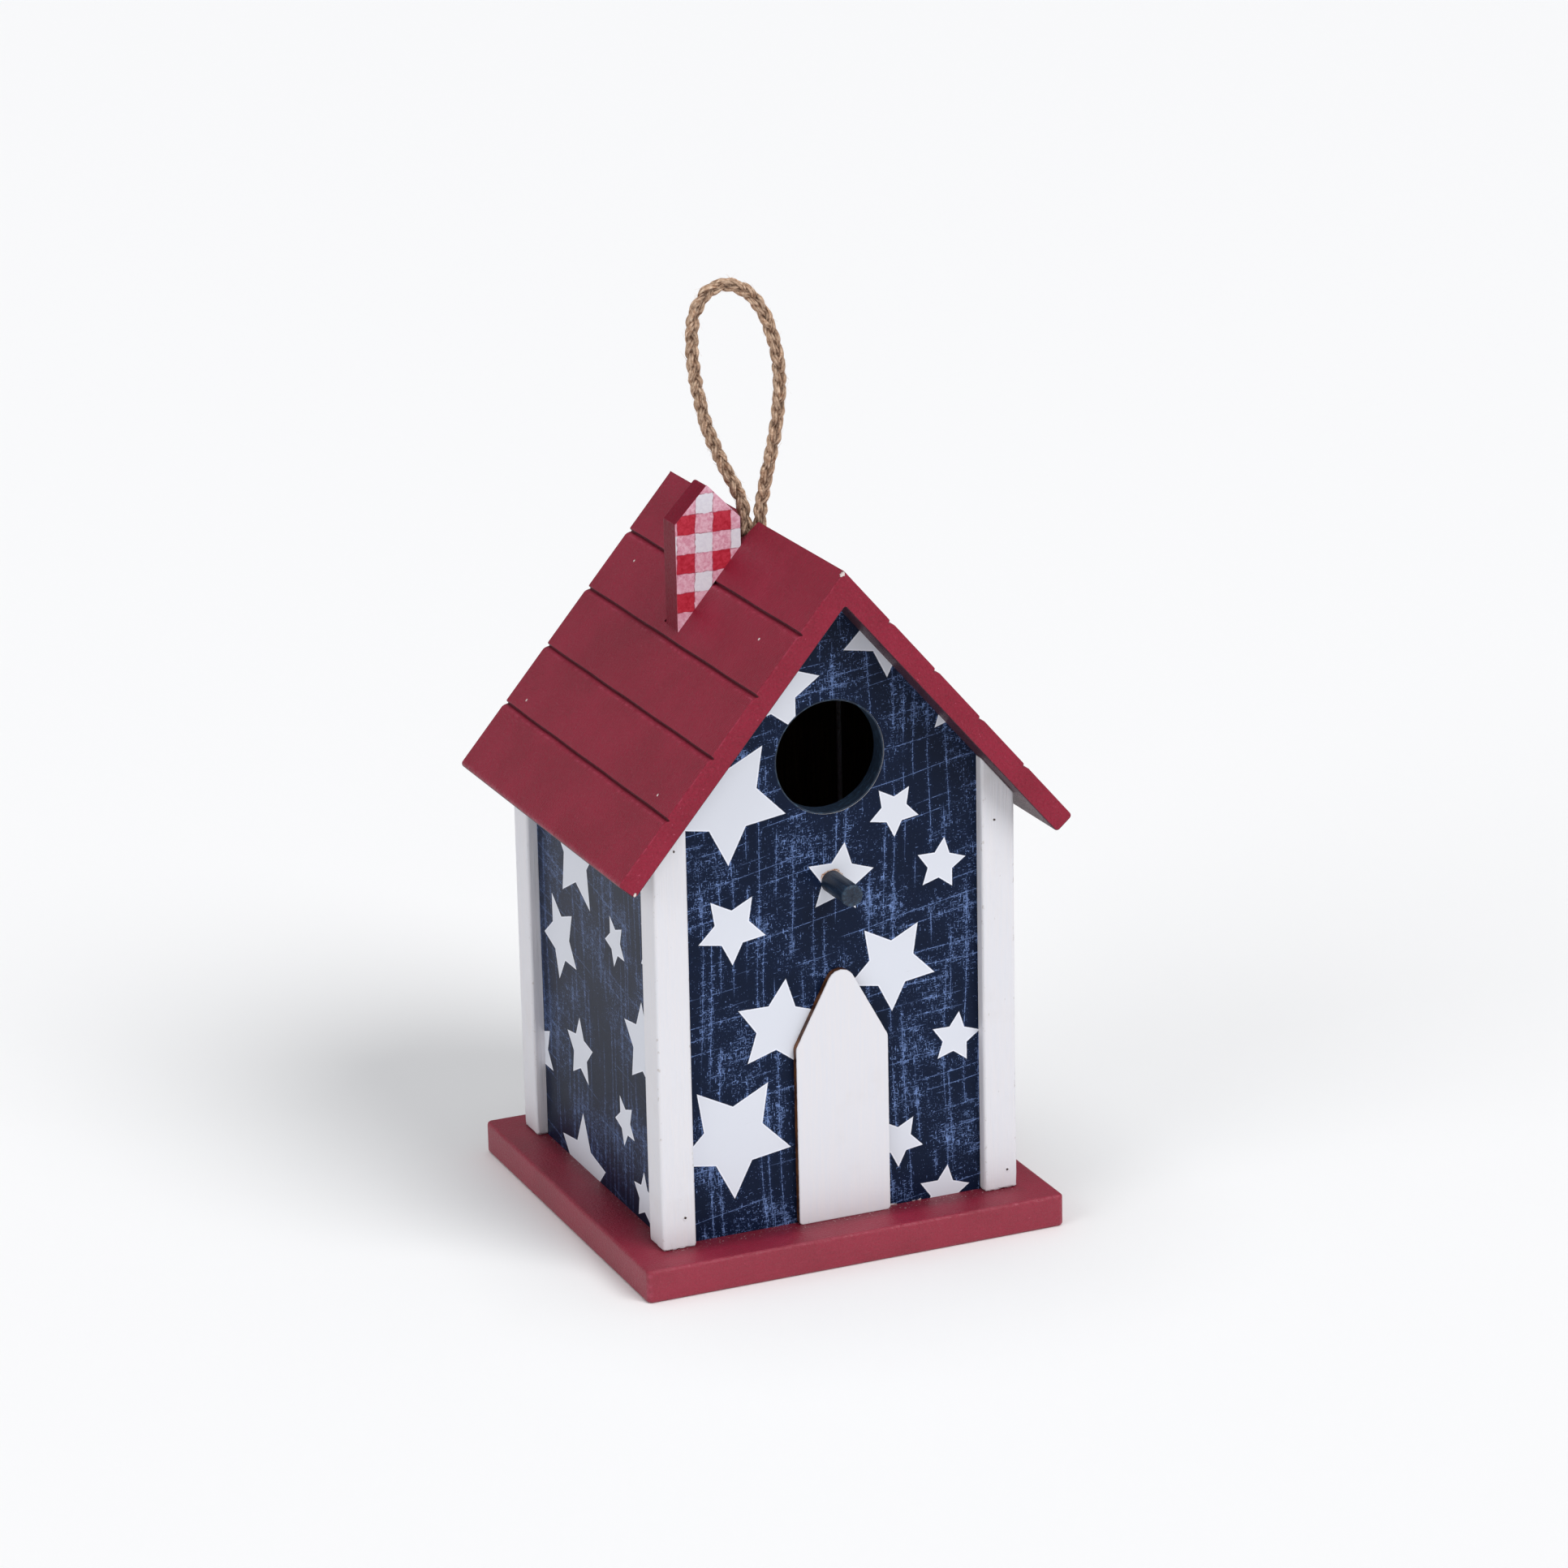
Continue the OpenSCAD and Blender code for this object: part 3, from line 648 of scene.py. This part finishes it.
# the route from the knot up through the ridge, round and back, as offsets in metres
# from the point of the ridge above the hole
ropeRoute = [
    (-0.0016, 0.0, -0.016),
    (-0.0016, 0.0, -0.008),
    (-0.0016, 0.0, -0.002),
    (-0.0022, 0.0002, 0.003),
    (-0.004, 0.0005, 0.0085),
    (-0.0073, 0.0008, 0.015),
    (-0.0106, 0.001, 0.023),
    (-0.013, 0.001, 0.031),
    (-0.0146, 0.001, 0.04),
    (-0.0153, 0.0008, 0.048),
    (-0.0143, 0.0005, 0.056),
    (-0.0113, 0.0002, 0.061),
    (-0.0063, 0.0, 0.063),
    (-0.0006, -0.0003, 0.061),
    (0.0041, -0.0006, 0.0553),
    (0.0068, -0.0008, 0.0483),
    (0.0081, -0.001, 0.0415),
    (0.0085, -0.001, 0.0346),
    (0.0076, -0.0009, 0.0268),
    (0.0063, -0.0007, 0.0189),
    (0.0047, -0.0004, 0.0122),
    (0.0034, -0.0002, 0.006),
    (0.0026, 0.0, 0.001),
    (0.0024, 0.0, -0.004),
    (0.0024, 0.0, -0.01),
    (0.0024, 0.0, -0.016),
]
knotSizes = dict(ropeSizes, across=3.2, swing=0.5, dip=0.3, strand=0.85, plait=10.0)
ropeFoot = np.array([0.0, (nodeLow["rope_knot"][1] + nodeHigh["rope_knot"][1]) / 2, ridgeTop])


def smoothPath(points, gap):
    # cubic Hermite spans whose end slopes are those of the chords beside them
    points = np.array(points, float)
    along = np.concatenate([[0], np.cumsum(np.linalg.norm(np.diff(points, axis=0), axis=1))])
    lean = np.gradient(points, along, axis=0)
    at = np.linspace(0, along[-1], int(along[-1] / gap) + 1)
    i = np.clip(np.searchsorted(along, at, side="right") - 1, 0, len(points) - 2)
    span = (along[i + 1] - along[i])[:, None]
    t = (at - along[i])[:, None] / span
    ends = (1 + 2 * t) * (1 - t) ** 2 * points[i] + t**2 * (3 - 2 * t) * points[i + 1]
    return ends + span * (t * (1 - t) ** 2 * lean[i] + t**2 * (t - 1) * lean[i + 1])


def axesAlong(line, about=(0.0, 1.0, 0.0)):
    # run, side and depth directions at every point: the side is square to the run and to about
    run = np.gradient(line, axis=0)
    run /= np.linalg.norm(run, axis=1)[:, None]
    side = np.cross(about, run)
    side /= np.linalg.norm(side, axis=1)[:, None]
    return run, side, np.cross(run, side)


def tube(line, radius, around, about=(0.0, 1.0, 0.0)):
    # a ring at each point of a line; radius holds one value for each point of each ring
    run, side, depth = axesAlong(line, about)
    angle = np.linspace(0, 2 * math.pi, around, endpoint=False)
    radius = np.broadcast_to(radius, (len(line), around))[:, :, None]
    ring = side[:, None] * np.cos(angle)[None, :, None] + depth[:, None] * np.sin(angle)[None, :, None]
    points = (line[:, None] + ring * radius).reshape(-1, 3)
    faces = gridFaces(len(line), around)
    faces.append(list(range(around))[::-1])
    faces.append([(len(line) - 1) * around + i for i in range(around)])
    return points, faces


def plaitedRope(name, line, sizes, material, replaces, around=26):
    # three strands of a flat plait: strand k swings sideways by the sine of its phase and in
    # depth by the sine of twice it; each strand's skin has twisted yarns, a cosine of the
    # angle plus a turn that grows along it
    run, side, depth = axesAlong(line)
    along = np.concatenate([[0], np.cumsum(np.linalg.norm(np.diff(line, axis=0), axis=1))])
    allPoints, allFaces, marks = [], [], {"deep": [], "strand": [], "yarn": [], "along": []}
    count = 0
    for k in range(3):
        phase = 2 * math.pi * (along / sizes["plait"] + k / 3) + 0.35 * np.sin(along / 9.0 + k)
        swing = sizes["swing"] * np.sin(phase) * (1 + 0.08 * np.sin(along / 5.3 + 2 * k))
        dip = sizes["dip"] * np.sin(2 * phase)
        centre = line + side * swing[:, None] + depth * dip[:, None]
        angle = np.linspace(0, 2 * math.pi, around, endpoint=False)[None]
        twist = angle + (along / 3.1)[:, None] * (1 if k % 2 else -1)
        yarn = np.cos(sizes["yarns"] * twist)
        lumps = 0.05 * np.sin(along * 2.3 + 5 * k)[:, None]
        lumps = lumps + 0.04 * np.sin((along * 0.9)[:, None] + 3 * angle + k)
        radius = sizes["strand"] * (1 + 0.075 * yarn + lumps)
        points, faces = tube(centre, radius, around)
        allPoints.append(points)
        allFaces += [[i + count for i in face] for face in faces]
        count += len(points)
        off = np.linalg.norm((points.reshape(len(line), around, 3) - line[:, None]), axis=2)
        # deep grows towards the rope's middle and in the grooves between yarns; the jute darkens it as
        # painted shade
        deep = np.clip(1.55 - off / (sizes["across"] / 2) * 1.45, 0, 1) + 0.28 * (yarn < -0.55)
        marks["deep"].append(deep.ravel())
        marks["strand"].append(np.full(len(points), float(k)))
        marks["yarn"].append(((np.cos(twist) + 1) / 2).ravel())
        marks["along"].append(np.broadcast_to(along[:, None], (len(line), around)).ravel())
    attributes = {key: np.concatenate(values) for key, values in marks.items()}
    return makePiece(name, np.concatenate(allPoints), allFaces, material, replaces=replaces,
                     attributes=attributes, sharp=75.0)


def ropeHairs(name, line, sizes, material, lowest):
    # loose fibres above a height: short three-sided tubes that leave the rope's skin nearly along
    # it, stand off by the power 1.5 of the way along them and curl aside by its square
    run, side, depth = axesAlong(line)
    at = draw.integers(0, len(line) - 1, sizes["hairs"] * 3)
    at = at[line[at][:, 2] > lowest][:sizes["hairs"]]
    n = len(at)
    angle = draw.uniform(0, 2 * math.pi, n)[:, None]
    way = draw.choice([-1.0, 1.0], n)[:, None]
    out = side[at] * np.cos(angle) + depth[at] * np.sin(angle) * 0.75
    aside = side[at] * -np.sin(angle) + depth[at] * np.cos(angle)
    long = draw.uniform(*sizes["hairLong"], n)[:, None] * draw.uniform(0.4, 1.0, (n, 1))
    stand = draw.uniform(0.03, 0.42, (n, 1)) ** 1.5 * 1.6
    curl = draw.uniform(-0.6, 0.6, (n, 1))
    t = np.linspace(0, 1, 6)
    root = line[at] + out * sizes["across"] * 0.40
    spine = (root[:, None] + (run[at] * way * long)[:, None] * t[None, :, None]
             + (out * long * stand)[:, None] * (t**1.5)[None, :, None]
             + (aside * long * curl)[:, None] * (t**2)[None, :, None])
    thick = sizes["hairThick"] * (1 - 0.6 * t)
    corner = np.array([0.0, 2.1, 4.2])
    ring = (out[:, None, None] * np.cos(corner)[None, None, :, None]
            + aside[:, None, None] * np.sin(corner)[None, None, :, None]) * thick[None, :, None, None]
    points = (spine[:, :, None] + ring).reshape(-1, 3)
    perHair = len(t) * len(corner)
    first = (np.arange(n) * perHair)[:, None, None]
    ends = np.array([[2, 1, 0], [perHair - 3, perHair - 2, perHair - 1]])
    faces = (np.array(gridFaces(len(t), len(corner)))[None] + first).reshape(-1, 4).tolist()
    faces += (ends[None] + first).reshape(-1, 3).tolist()
    marks = {"deep": np.zeros(len(points)), "strand": np.zeros(len(points))}
    marks["yarn"] = np.repeat(draw.uniform(0, 1, n), perHair)
    marks["along"] = np.repeat(draw.uniform(0, 40, n), perHair)
    return makePiece(name, points, faces, material, attributes=marks, sharp=80.0)


def makeRope():
    juteFibre = jute("jute fibre")
    coarse = smoothPath(np.array(ropeRoute) / mm + ropeFoot, 0.32)
    rope = plaitedRope("hanging_rope_plait", coarse, ropeSizes, juteFibre, ["hanging_rope"])
    hairs = ropeHairs("hanging_rope_fibres", coarse, ropeSizes, juteFibre, ridgeTop + 1.5)
    # the knot: a trefoil, whose line turns three times about the ring while it goes round twice
    turn = np.linspace(0, 2 * math.pi, 130)
    low, high = nodeLow["rope_knot"], nodeHigh["rope_knot"]
    middle, reach = (low + high) / 2, (high - low)[0] / 2
    ring = 0.42 * reach + 0.2 * reach * np.cos(3 * turn)
    lift = 0.4 * reach * np.sin(3 * turn)
    knotLine = middle + np.stack([ring * np.cos(2 * turn), ring * np.sin(2 * turn), lift], axis=1)
    knot = plaitedRope("rope_knot_turns", knotLine, knotSizes, juteFibre, ["rope_knot"], around=16)
    path = coarse * mm


makeRope()


def roofBoard(name, node, way, material):
    # a board's section carried from gable to gable: flat planks, each groove a sharp drop and then
    # a rise by the power 1.7 of the way across it, and quarter circles round the eave
    sizes = roofSizes
    thick, deep, run = sizes["thick"], sizes["grooveDeep"], sizes["grooveRun"]
    reach = nodeHigh[node][0] if way > 0 else -nodeLow[node][0]
    # the rounded eave still reaches the full width
    long = (reach + sizes["eaveRound"] * (math.sin(slope) + math.cos(slope) - 1)) / math.cos(slope)
    # section as (distance down the slope, height over the underside, pale edge, inset share); in a groove
    # the pale edge is a painted highlight above 0 and painted shade below 0
    # an inset share of 0 keeps the mitre, whose two boards are painted over as one, flush
    rows = [(0.0, thick, 0.0, 0.0), (0.5, thick, 0.1, 0.8), (2.0, thick, 0.0, 1.0), (9.0, thick, 0.0, 1.0)]
    for k in range(1, int(long / sizes["plank"]) + 1):
        s = k * sizes["plank"]
        if s > long - 4:
            continue
        # each groove: a painted highlight on the lip above it, painted shade in its bottom, a painted
        # highlight up its rise
        rows += [(s - 2.5, thick, 0.0, 1.0), (s - 0.6, thick, 0.0, 1.0), (s - 0.22, thick - 0.04, 0.2, 0.8)]
        rows += [(s - 0.03, thick - 0.25, -0.5, 0.4), (s + 0.05, thick - deep, -1.0, 0.1)]
        rows += [(s + 0.3, thick - deep - 0.02, -1.0, 0.1)]
        for t, pale in ((0.25, -0.3), (0.5, 0.3), (0.75, 0.9), (1.0, 0.15)):
            rows.append((s + 0.3 + (run - 0.3) * t, thick - deep * (1 - t) ** 1.7, pale, 0.2 + 0.8 * t))
        rows += [(s + run + 0.5, thick, 0.0, 1.0), (s + run + 4, thick, 0.0, 1.0)]
    roundness = sizes["eaveRound"]
    for centre, start in (((long - roundness, thick - roundness), 90), ((long - roundness, roundness), 0)):
        rows += [(centre[0] - 0.6, thick, 0.0, 1.0)] if start == 90 else [(long, roundness + 0.6, 0.0, 1.0)]
        for a in np.radians(np.linspace(start, start - 90, 6)):
            rows.append((centre[0] + roundness * math.cos(a), centre[1] + roundness * math.sin(a), 0.7, 1.0))
    mitre = thick * math.tan(slope)
    rows += [(long - 5, 0.0, 0.0, 1.0), (long / 2, 0.0, 0.0, 1.0), (mitre + 0.5, 0.0, 0.0, 0.8)]
    rows += [(mitre, 0.0, 0.0, 0.0), (mitre / 2, thick / 2, 0.0, 0.0)]
    rows = np.array(rows)[::-1]
    outline, pale, hold = rows[:, :2], rows[:, 2], rows[:, 3]
    low, high = nodeLow[node][1], nodeHigh[node][1]
    gableRound = sizes["gableRound"]
    points, faces, edge = prism(outline, pale, low, high, gableRound, gableRound, sizes["gap"], hold)
    s, h, y = points.T
    s = s + 0.05 * np.sin(y / 5.0 + s / 11.0) * (h > 3) * (s > 3) * (s < long - 2)
    x = s * math.cos(slope) + (h - thick) * math.sin(slope)
    x = np.maximum(x, 0.0)
    # the rope's hole: a board's edge gives way to a circle, and slides down the slope
    notch = np.sqrt(np.maximum(0, (sizes["holeAcross"] / 2) ** 2 - (y - ropeFoot[1]) ** 2))
    moved = np.maximum(x, notch)
    z = ridgeTop - s * math.sin(slope) + (h - thick) * math.cos(slope) - (moved - x) * math.tan(slope)
    points = np.stack([way * moved, y, z], axis=1)
    if way > 0:
        faces = [face[::-1] for face in faces]
    return makePiece(name, points, faces, material, replaces=[node], attributes={"edge": edge})


def roofPoint(s, y, way):
    # a point of the roof's upper face, in mm
    return (way * s * math.cos(slope), y, ridgeTop - s * math.sin(slope))


# pale chips over the brads, as (distance down the slope, y), and two where the front edge is knocked
chipSizes = {"brad": 0.42, "ridge": 1.0, "eave": 0.6}
bradPlaces = [(26.0, -41.6), (26.0, 43.8), (73.4, -46.2), (73.4, 47.6)]
leftLow = nodeLow["left_roof_board"]
leftChips = [(roofPoint(s, y, -1), chipSizes["brad"]) for s, y in bradPlaces]
leftChips += [((-0.6, leftLow[1] + 0.3, ridgeTop - 0.6), chipSizes["ridge"])]
leftChips += [((leftLow[0] + 4.0, leftLow[1] + 0.2, leftLow[2] + 0.6), chipSizes["eave"])]
rightChips = [(roofPoint(s, y, 1), chipSizes["brad"]) for s, y in bradPlaces]
# both roof boards darken their downward faces as painted shade
leftRed = brushedRed("red paint, left roof", chips=leftChips, under=True)
rightRed = brushedRed("red paint, right roof", chips=rightChips, under=True)
roofBoard("left_roof_planks", "left_roof_board", -1, leftRed)
roofBoard("right_roof_planks", "right_roof_board", 1, rightRed)
print("roof boards made")


baseSizes = {"corner": 1.6, "rim": 0.9}


def makeBase():
    # a plate with rounded corners and rolled rims
    low, high = nodeLow["base_plate"], nodeHigh["base_plate"]
    corners = [(low[0], low[1]), (high[0], low[1]), (high[0], high[1]), (low[0], high[1])]
    outline, soft = roundedOutline(corners, [baseSizes["corner"]] * 4, 4.0)
    points, faces, edge = prism(outline, soft, low[2], high[2], baseSizes["rim"], baseSizes["rim"], 3.0)
    # the base takes painted shade and dust along the foot of the walls
    paint = brushedRed("red paint, base", (0.12, 1.0, 1.0), leather=0.45, gloss=0.6,
                       walls=(nodeHigh["right_print"][0], nodeHigh["back_print"][1]), paleWearAndHighlight=0.3)
    return makePiece("base_board", points, faces, paint,
                     replaces=["base_plate"], attributes={"edge": edge})


makeBase()

postSizes = {"corner": 0.8, "rim": 0.5, "topRim": 0.35, "ragged": 0.55}


def makePost(node, material):
    # a square post with eased arrises and a slightly ragged foot; its length bows by a sine
    low, high = nodeLow[node], nodeHigh[node]
    corners = [(low[0], low[1]), (high[0], low[1]), (high[0], high[1]), (low[0], high[1])]
    outline, soft = roundedOutline(corners, [postSizes["corner"]] * 4, 0.9, 4)
    points, faces, edge = prism(outline, soft, 0.0, 100.0, postSizes["rim"], postSizes["topRim"], 2.5)
    x, y, t = points.T
    # the rim stays rolled over while the length is stretched up to the roof's slope
    z = low[2] + t * (underRoof(x) - low[2]) / 100.0
    foot = np.clip(1 - (z - low[2]) / 1.6, 0, 1)
    rag = draw.uniform(0, 1, len(points)) ** 2 * foot * postSizes["ragged"]
    middle = (low + high) / 2
    x = x + (middle[0] - x) * rag * 0.09
    y = y + (middle[1] - y) * rag * 0.09
    z = z + rag * 0.8 * (z < low[2] + 0.5)
    bow = 0.10 * np.sin((z - low[2]) / 33.0 + middle[0]) * (1 - foot)
    points = np.stack([x + bow, y + 0.06 * np.sin(z / 21.0), z], axis=1)
    return makePiece(node + "_painted", points, faces, material, replaces=[node],
                     attributes={"edge": np.maximum(edge, foot * 0.8)})


# places of the brads' marks over the front posts, as (x, z); the back's are turned about
frontDots = [(-44.9, 17.5), (-45.2, 118.2), (48.3, 14.4), (45.3, 113.3)]
dotPlaces = [(x, nodeLow["front_left_post"][1], z) for x, z in frontDots]
dotPlaces += [(-x, nodeHigh["back_left_post"][1], z) for x, z in frontDots]
postPaint = whitePaint("white paint, posts", dots=dotPlaces)
for corner in ("front_left", "front_right", "back_left", "back_right"):
    makePost(corner + "_post", postPaint)


rimSizes = {"radius": (0.26, 0.34, 0.42, 0.54, 0.7, 0.8), "proud": (-0.12, 0.02, 0.06, 0.05, 0.02, -0.03)}


def bradRims():
    # a low ring of raised paint round each sunk brad: a revolved bump that faces the front or back
    around = 20
    angle = np.linspace(0, 2 * math.pi, around, endpoint=False)
    radius = np.array(rimSizes["radius"])
    proud = np.array(rimSizes["proud"])
    points, faces = [], []
    for n, (x, y, z) in enumerate(dotPlaces):
        way = -1 if y < 0 else 1
        wob = 1 + 0.08 * np.sin(3 * angle + n)
        ring = np.stack([
            x + radius[:, None] * (np.cos(angle) * wob)[None],
            y + way * np.broadcast_to(proud[:, None], (len(radius), around)),
            z + radius[:, None] * (np.sin(angle) * wob)[None],
        ], axis=2).reshape(-1, 3)
        grid = np.array(gridFaces(len(radius), around)) + n * len(ring)
        faces += (grid[:, ::-1] if way > 0 else grid).tolist()
        points.append(ring)
    return makePiece("post_brad_rims", np.concatenate(points), faces, postPaint,
                     attributes={"edge": np.zeros(len(dotPlaces) * around * len(radius))})


bradRims()

chimneySizes = {"foot": 0.2, "eave": 0.5, "tip": 0.7, "rim": 0.6, "gable": 9.6}


def makeChimney():
    # a block with a small gable, its foot cut to the roof's slope
    low, high = nodeLow["chimney"], nodeHigh["chimney"]
    middle = (low[0] + high[0]) / 2
    shoulder = nodeHigh["chimney_print"][2] - chimneySizes["gable"]
    footRight = ridgeTop + high[0] * math.tan(slope)
    footLeft = ridgeTop + low[0] * math.tan(slope)
    corners = [(low[0], footLeft), (high[0], footRight), (high[0], shoulder), (middle, high[2])]
    corners += [(low[0], shoulder)]
    radii = [chimneySizes[k] for k in ("foot", "foot", "eave", "tip", "eave")]
    outline, soft = roundedOutline(corners, radii, 2.0)
    points, faces, edge = prism(outline, soft, low[1], high[1], 0.12, chimneySizes["rim"], 2.5)
    points = points[:, [0, 2, 1]]
    faces = [face[::-1] for face in faces]
    # the chimney's whole red is darkened by shade as painted shade
    paint = brushedRed("red paint, chimney", (1.0, 1.0, 0.15), shade=0.74, gloss=0.08)
    return makePiece("chimney_block", points, faces, paint,
                     replaces=["chimney"], attributes={"edge": edge})


makeChimney()

doorSizes = {
    "shoulder": 49.4,
    "tip": 3.9,
    "tipSlope": 61.8,  # degrees
    "shoulderRound": 3.0,
    "footRound": 1.0,
    "rim": 0.22,
}


def makeDoor():
    # a picket outline carried backwards, with the fine ripple of a saw along its cut sides
    low, high = nodeLow["door_plaque"], nodeHigh["door_plaque"]
    middle = (low[0] + high[0]) / 2
    shoulder = low[2] + doorSizes["shoulder"]
    # a sharp tip stands above the rounded one
    sharp = high[2] + doorSizes["tip"] * (1 / math.cos(math.radians(doorSizes["tipSlope"])) - 1)
    corners = [(low[0], low[2]), (high[0], low[2]), (high[0], shoulder), (middle, sharp)]
    corners += [(low[0], shoulder)]
    radii = [doorSizes[k] for k in ("footRound", "footRound", "shoulderRound", "tip", "shoulderRound")]
    outline, soft = roundedOutline(corners, radii, 1.2, 8)
    points, faces, edge = prism(outline, soft * 0, low[1], high[1], doorSizes["rim"], 0.1, 0.8)
    points = points[:, [0, 2, 1]]
    saw = 0.03 * np.sin(points[:, 2] * 1.9) * np.sin(points[:, 2] * 0.37 + 1)
    points[:, 0] += saw * (points[:, 1] > low[1] + 0.1) * np.sign(points[:, 0] - middle)
    faces = [face[::-1] for face in faces]
    paint = whitePaint("white paint, door", burnt=low[1] + 0.28, streaks=0.25, relief=0.3)
    return makePiece("door_board", points, faces, paint, replaces=["door_plaque"],
                     attributes={"edge": edge * 0.4})


makeDoor()


# chamfer rings as (height over the end, how far inside the radius)
perchSizes = {
    "chamfer": ((0.22, 0.12), (0.06, 0.32), (0.0, 0.6)),
    "dent": 0.16,
    "fluted": 0.012,
    "wavy": 0.008,
    "share": 0.985,  # of the radius, so that the waves stay inside the hole
}


def makePerch():
    # a dowel turned about Y: its radius is uneven by a sine of seven times the angle and by one
    # that winds along it, with a chamfer and a sawn, dented end
    low, high = nodeLow["perch"], nodeHigh["perch"]
    radius, around = (high[0] - low[0]) / 2, 44
    middleX, middleZ = (low[0] + high[0]) / 2, (low[2] + high[2]) / 2
    over, inside = np.array(perchSizes["chamfer"]).T
    along = np.concatenate([np.linspace(high[1], low[1] + 0.5, 26), low[1] + over, np.full(5, low[1])])
    endRings = (radius - inside[-1]) * np.linspace(0.85, 0.05, 5)
    size = np.concatenate([np.full(26, radius), radius - inside, endRings])[:, None] * perchSizes["share"]
    angle = np.linspace(0, 2 * math.pi, around, endpoint=False)[None]
    fluted = perchSizes["fluted"] * np.sin(7 * angle)
    uneven = size * (1 + fluted + perchSizes["wavy"] * np.sin(along[:, None] / 1.7 + 3 * angle))
    dent = np.zeros((len(along), around))
    dent[-7:] = draw.uniform(0, perchSizes["dent"], (7, around))
    points = np.stack([
        middleX + uneven * np.cos(angle),
        along[:, None] + dent,
        middleZ + uneven * np.sin(angle),
    ], axis=2).reshape(-1, 3)
    faces = gridFaces(len(along), around)
    faces.append([(len(along) - 1) * around + i for i in range(around)])
    faces.append(list(range(around))[::-1])
    paleWearAndHighlight = np.zeros((len(along), around))
    paleWearAndHighlight[25:29] = 1.0
    return makePiece("perch_dowel", points, faces, navyPaint("navy paint, perch"),
                     replaces=["perch"], attributes={"edge": paleWearAndHighlight.ravel()}, sharp=60.0)


makePerch()
print("base, posts, chimney, door and perch made")


def dress(node, material):
    # a finish for a CAD node that stays
    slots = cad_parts[node].material_slots
    if not slots:
        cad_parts[node].data.materials.append(material)
    for held in slots:
        held.material = material


# the openings' middles and radii, and the middle of the dowel's foot
openings = {
    "entrance": ((0.0, 136.2), 15.0),
    "cleanout": ((0.0, nodeLow["cleanout_cover"][2] + 18.5), 15.0),
    "dowel": (0.0, 102.3),
}
dress("front_print", starPrint("star print, front", frontStars, "X", tear=openings["dowel"]))
dress("back_print", starPrint("star print, back", frontStars, "X", -1.0, 40.0))
dress("left_print", starPrint("star print, left", sideStars, "Y", 1.0, 80.0, shown=0.55, frayed=0.0))
dress("right_print", starPrint("star print, right", sideStars, "Y", -1.0, 120.0, shown=0.55, frayed=0.0))
dress("chimney_print", checkPrint("gingham print"))
dress("front_wall", plyWood("plywood, front", openings["entrance"]))
dress("back_wall", plyWood("plywood, back", openings["cleanout"]))
sidePly = plyWood("plywood, sides")
for node in ("left_wall", "right_wall"):
    dress(node, sidePly)
steelFinish = steel("zinc plated steel")
fasteners = ["cleanout_screw", "left_roof_brads", "right_roof_brads", "front_post_brads", "back_post_brads"]
for node in [*fasteners, "base_nails", "chimney_nail"]:
    dress(node, steelFinish)
dress("cleanout_cover", whitePaint("white paint, cover"))
print("finishes assigned")


stageSizes = {"floor": 30.0, "shade": (0.97, 0.97, 0.97, 1.0)}


def makeFloor():
    half = stageSizes["floor"] / 2
    mesh = bpy.data.meshes.new("floor")
    corners = [(-half, -half, 0), (half, -half, 0), (half, half, 0), (-half, half, 0)]
    mesh.from_pydata(corners, [], [(0, 1, 2, 3)])
    floor = bpy.data.objects.new("floor", mesh)
    bpy.context.scene.collection.objects.link(floor)
    paint = Paint("pale floor")
    mesh.materials.append(paint.finish(stageSizes["shade"], 0.75, Specular_IOR_Level=0.2))


makeFloor()

# places in metres, spread in degrees
lightSizes = {
    "key": {"from": (0.55, -1.15, 1.25), "spread": 34.0, "strength": 1.72},
    "left": {"from": (-1.5, -0.5, 0.8), "spread": 36.0, "strength": 0.66},
    "top": {"from": (-0.1, 0.2, 1.8), "spread": 45.0, "strength": 0.84},
}
worldSizes = {"shed": 0.28, "seen": 1.1, "color": (0.93, 0.95, 1.0, 1.0)}


def makeLights():
    for name, sizes in lightSizes.items():
        data = bpy.data.lights.new(name, "SUN")
        data.angle = math.radians(sizes["spread"])
        data.energy = sizes["strength"]
        lamp = bpy.data.objects.new(name, data)
        bpy.context.scene.collection.objects.link(lamp)
        away = Vector(sizes["from"])
        lamp.matrix_world = Matrix.Translation(away) @ away.to_track_quat("Z", "Y").to_matrix().to_4x4()
    world = bpy.data.worlds.new("soft room")
    world.use_nodes = True
    nodes, links = world.node_tree.nodes, world.node_tree.links
    nodes["Background"].inputs[0].default_value = worldSizes["color"]
    # the camera sees a white backdrop; the light it sheds is weaker
    sight = nodes.new("ShaderNodeLightPath")
    share = nodes.new("ShaderNodeMapRange")
    share.inputs["To Min"].default_value = worldSizes["shed"]
    share.inputs["To Max"].default_value = worldSizes["seen"]
    links.new(sight.outputs["Is Camera Ray"], share.inputs["Value"])
    links.new(share.outputs[0], nodes["Background"].inputs[1])
    bpy.context.scene.world = world
    bpy.context.scene.view_settings.view_transform = "Standard"


makeLights()
print("floor and lights made")
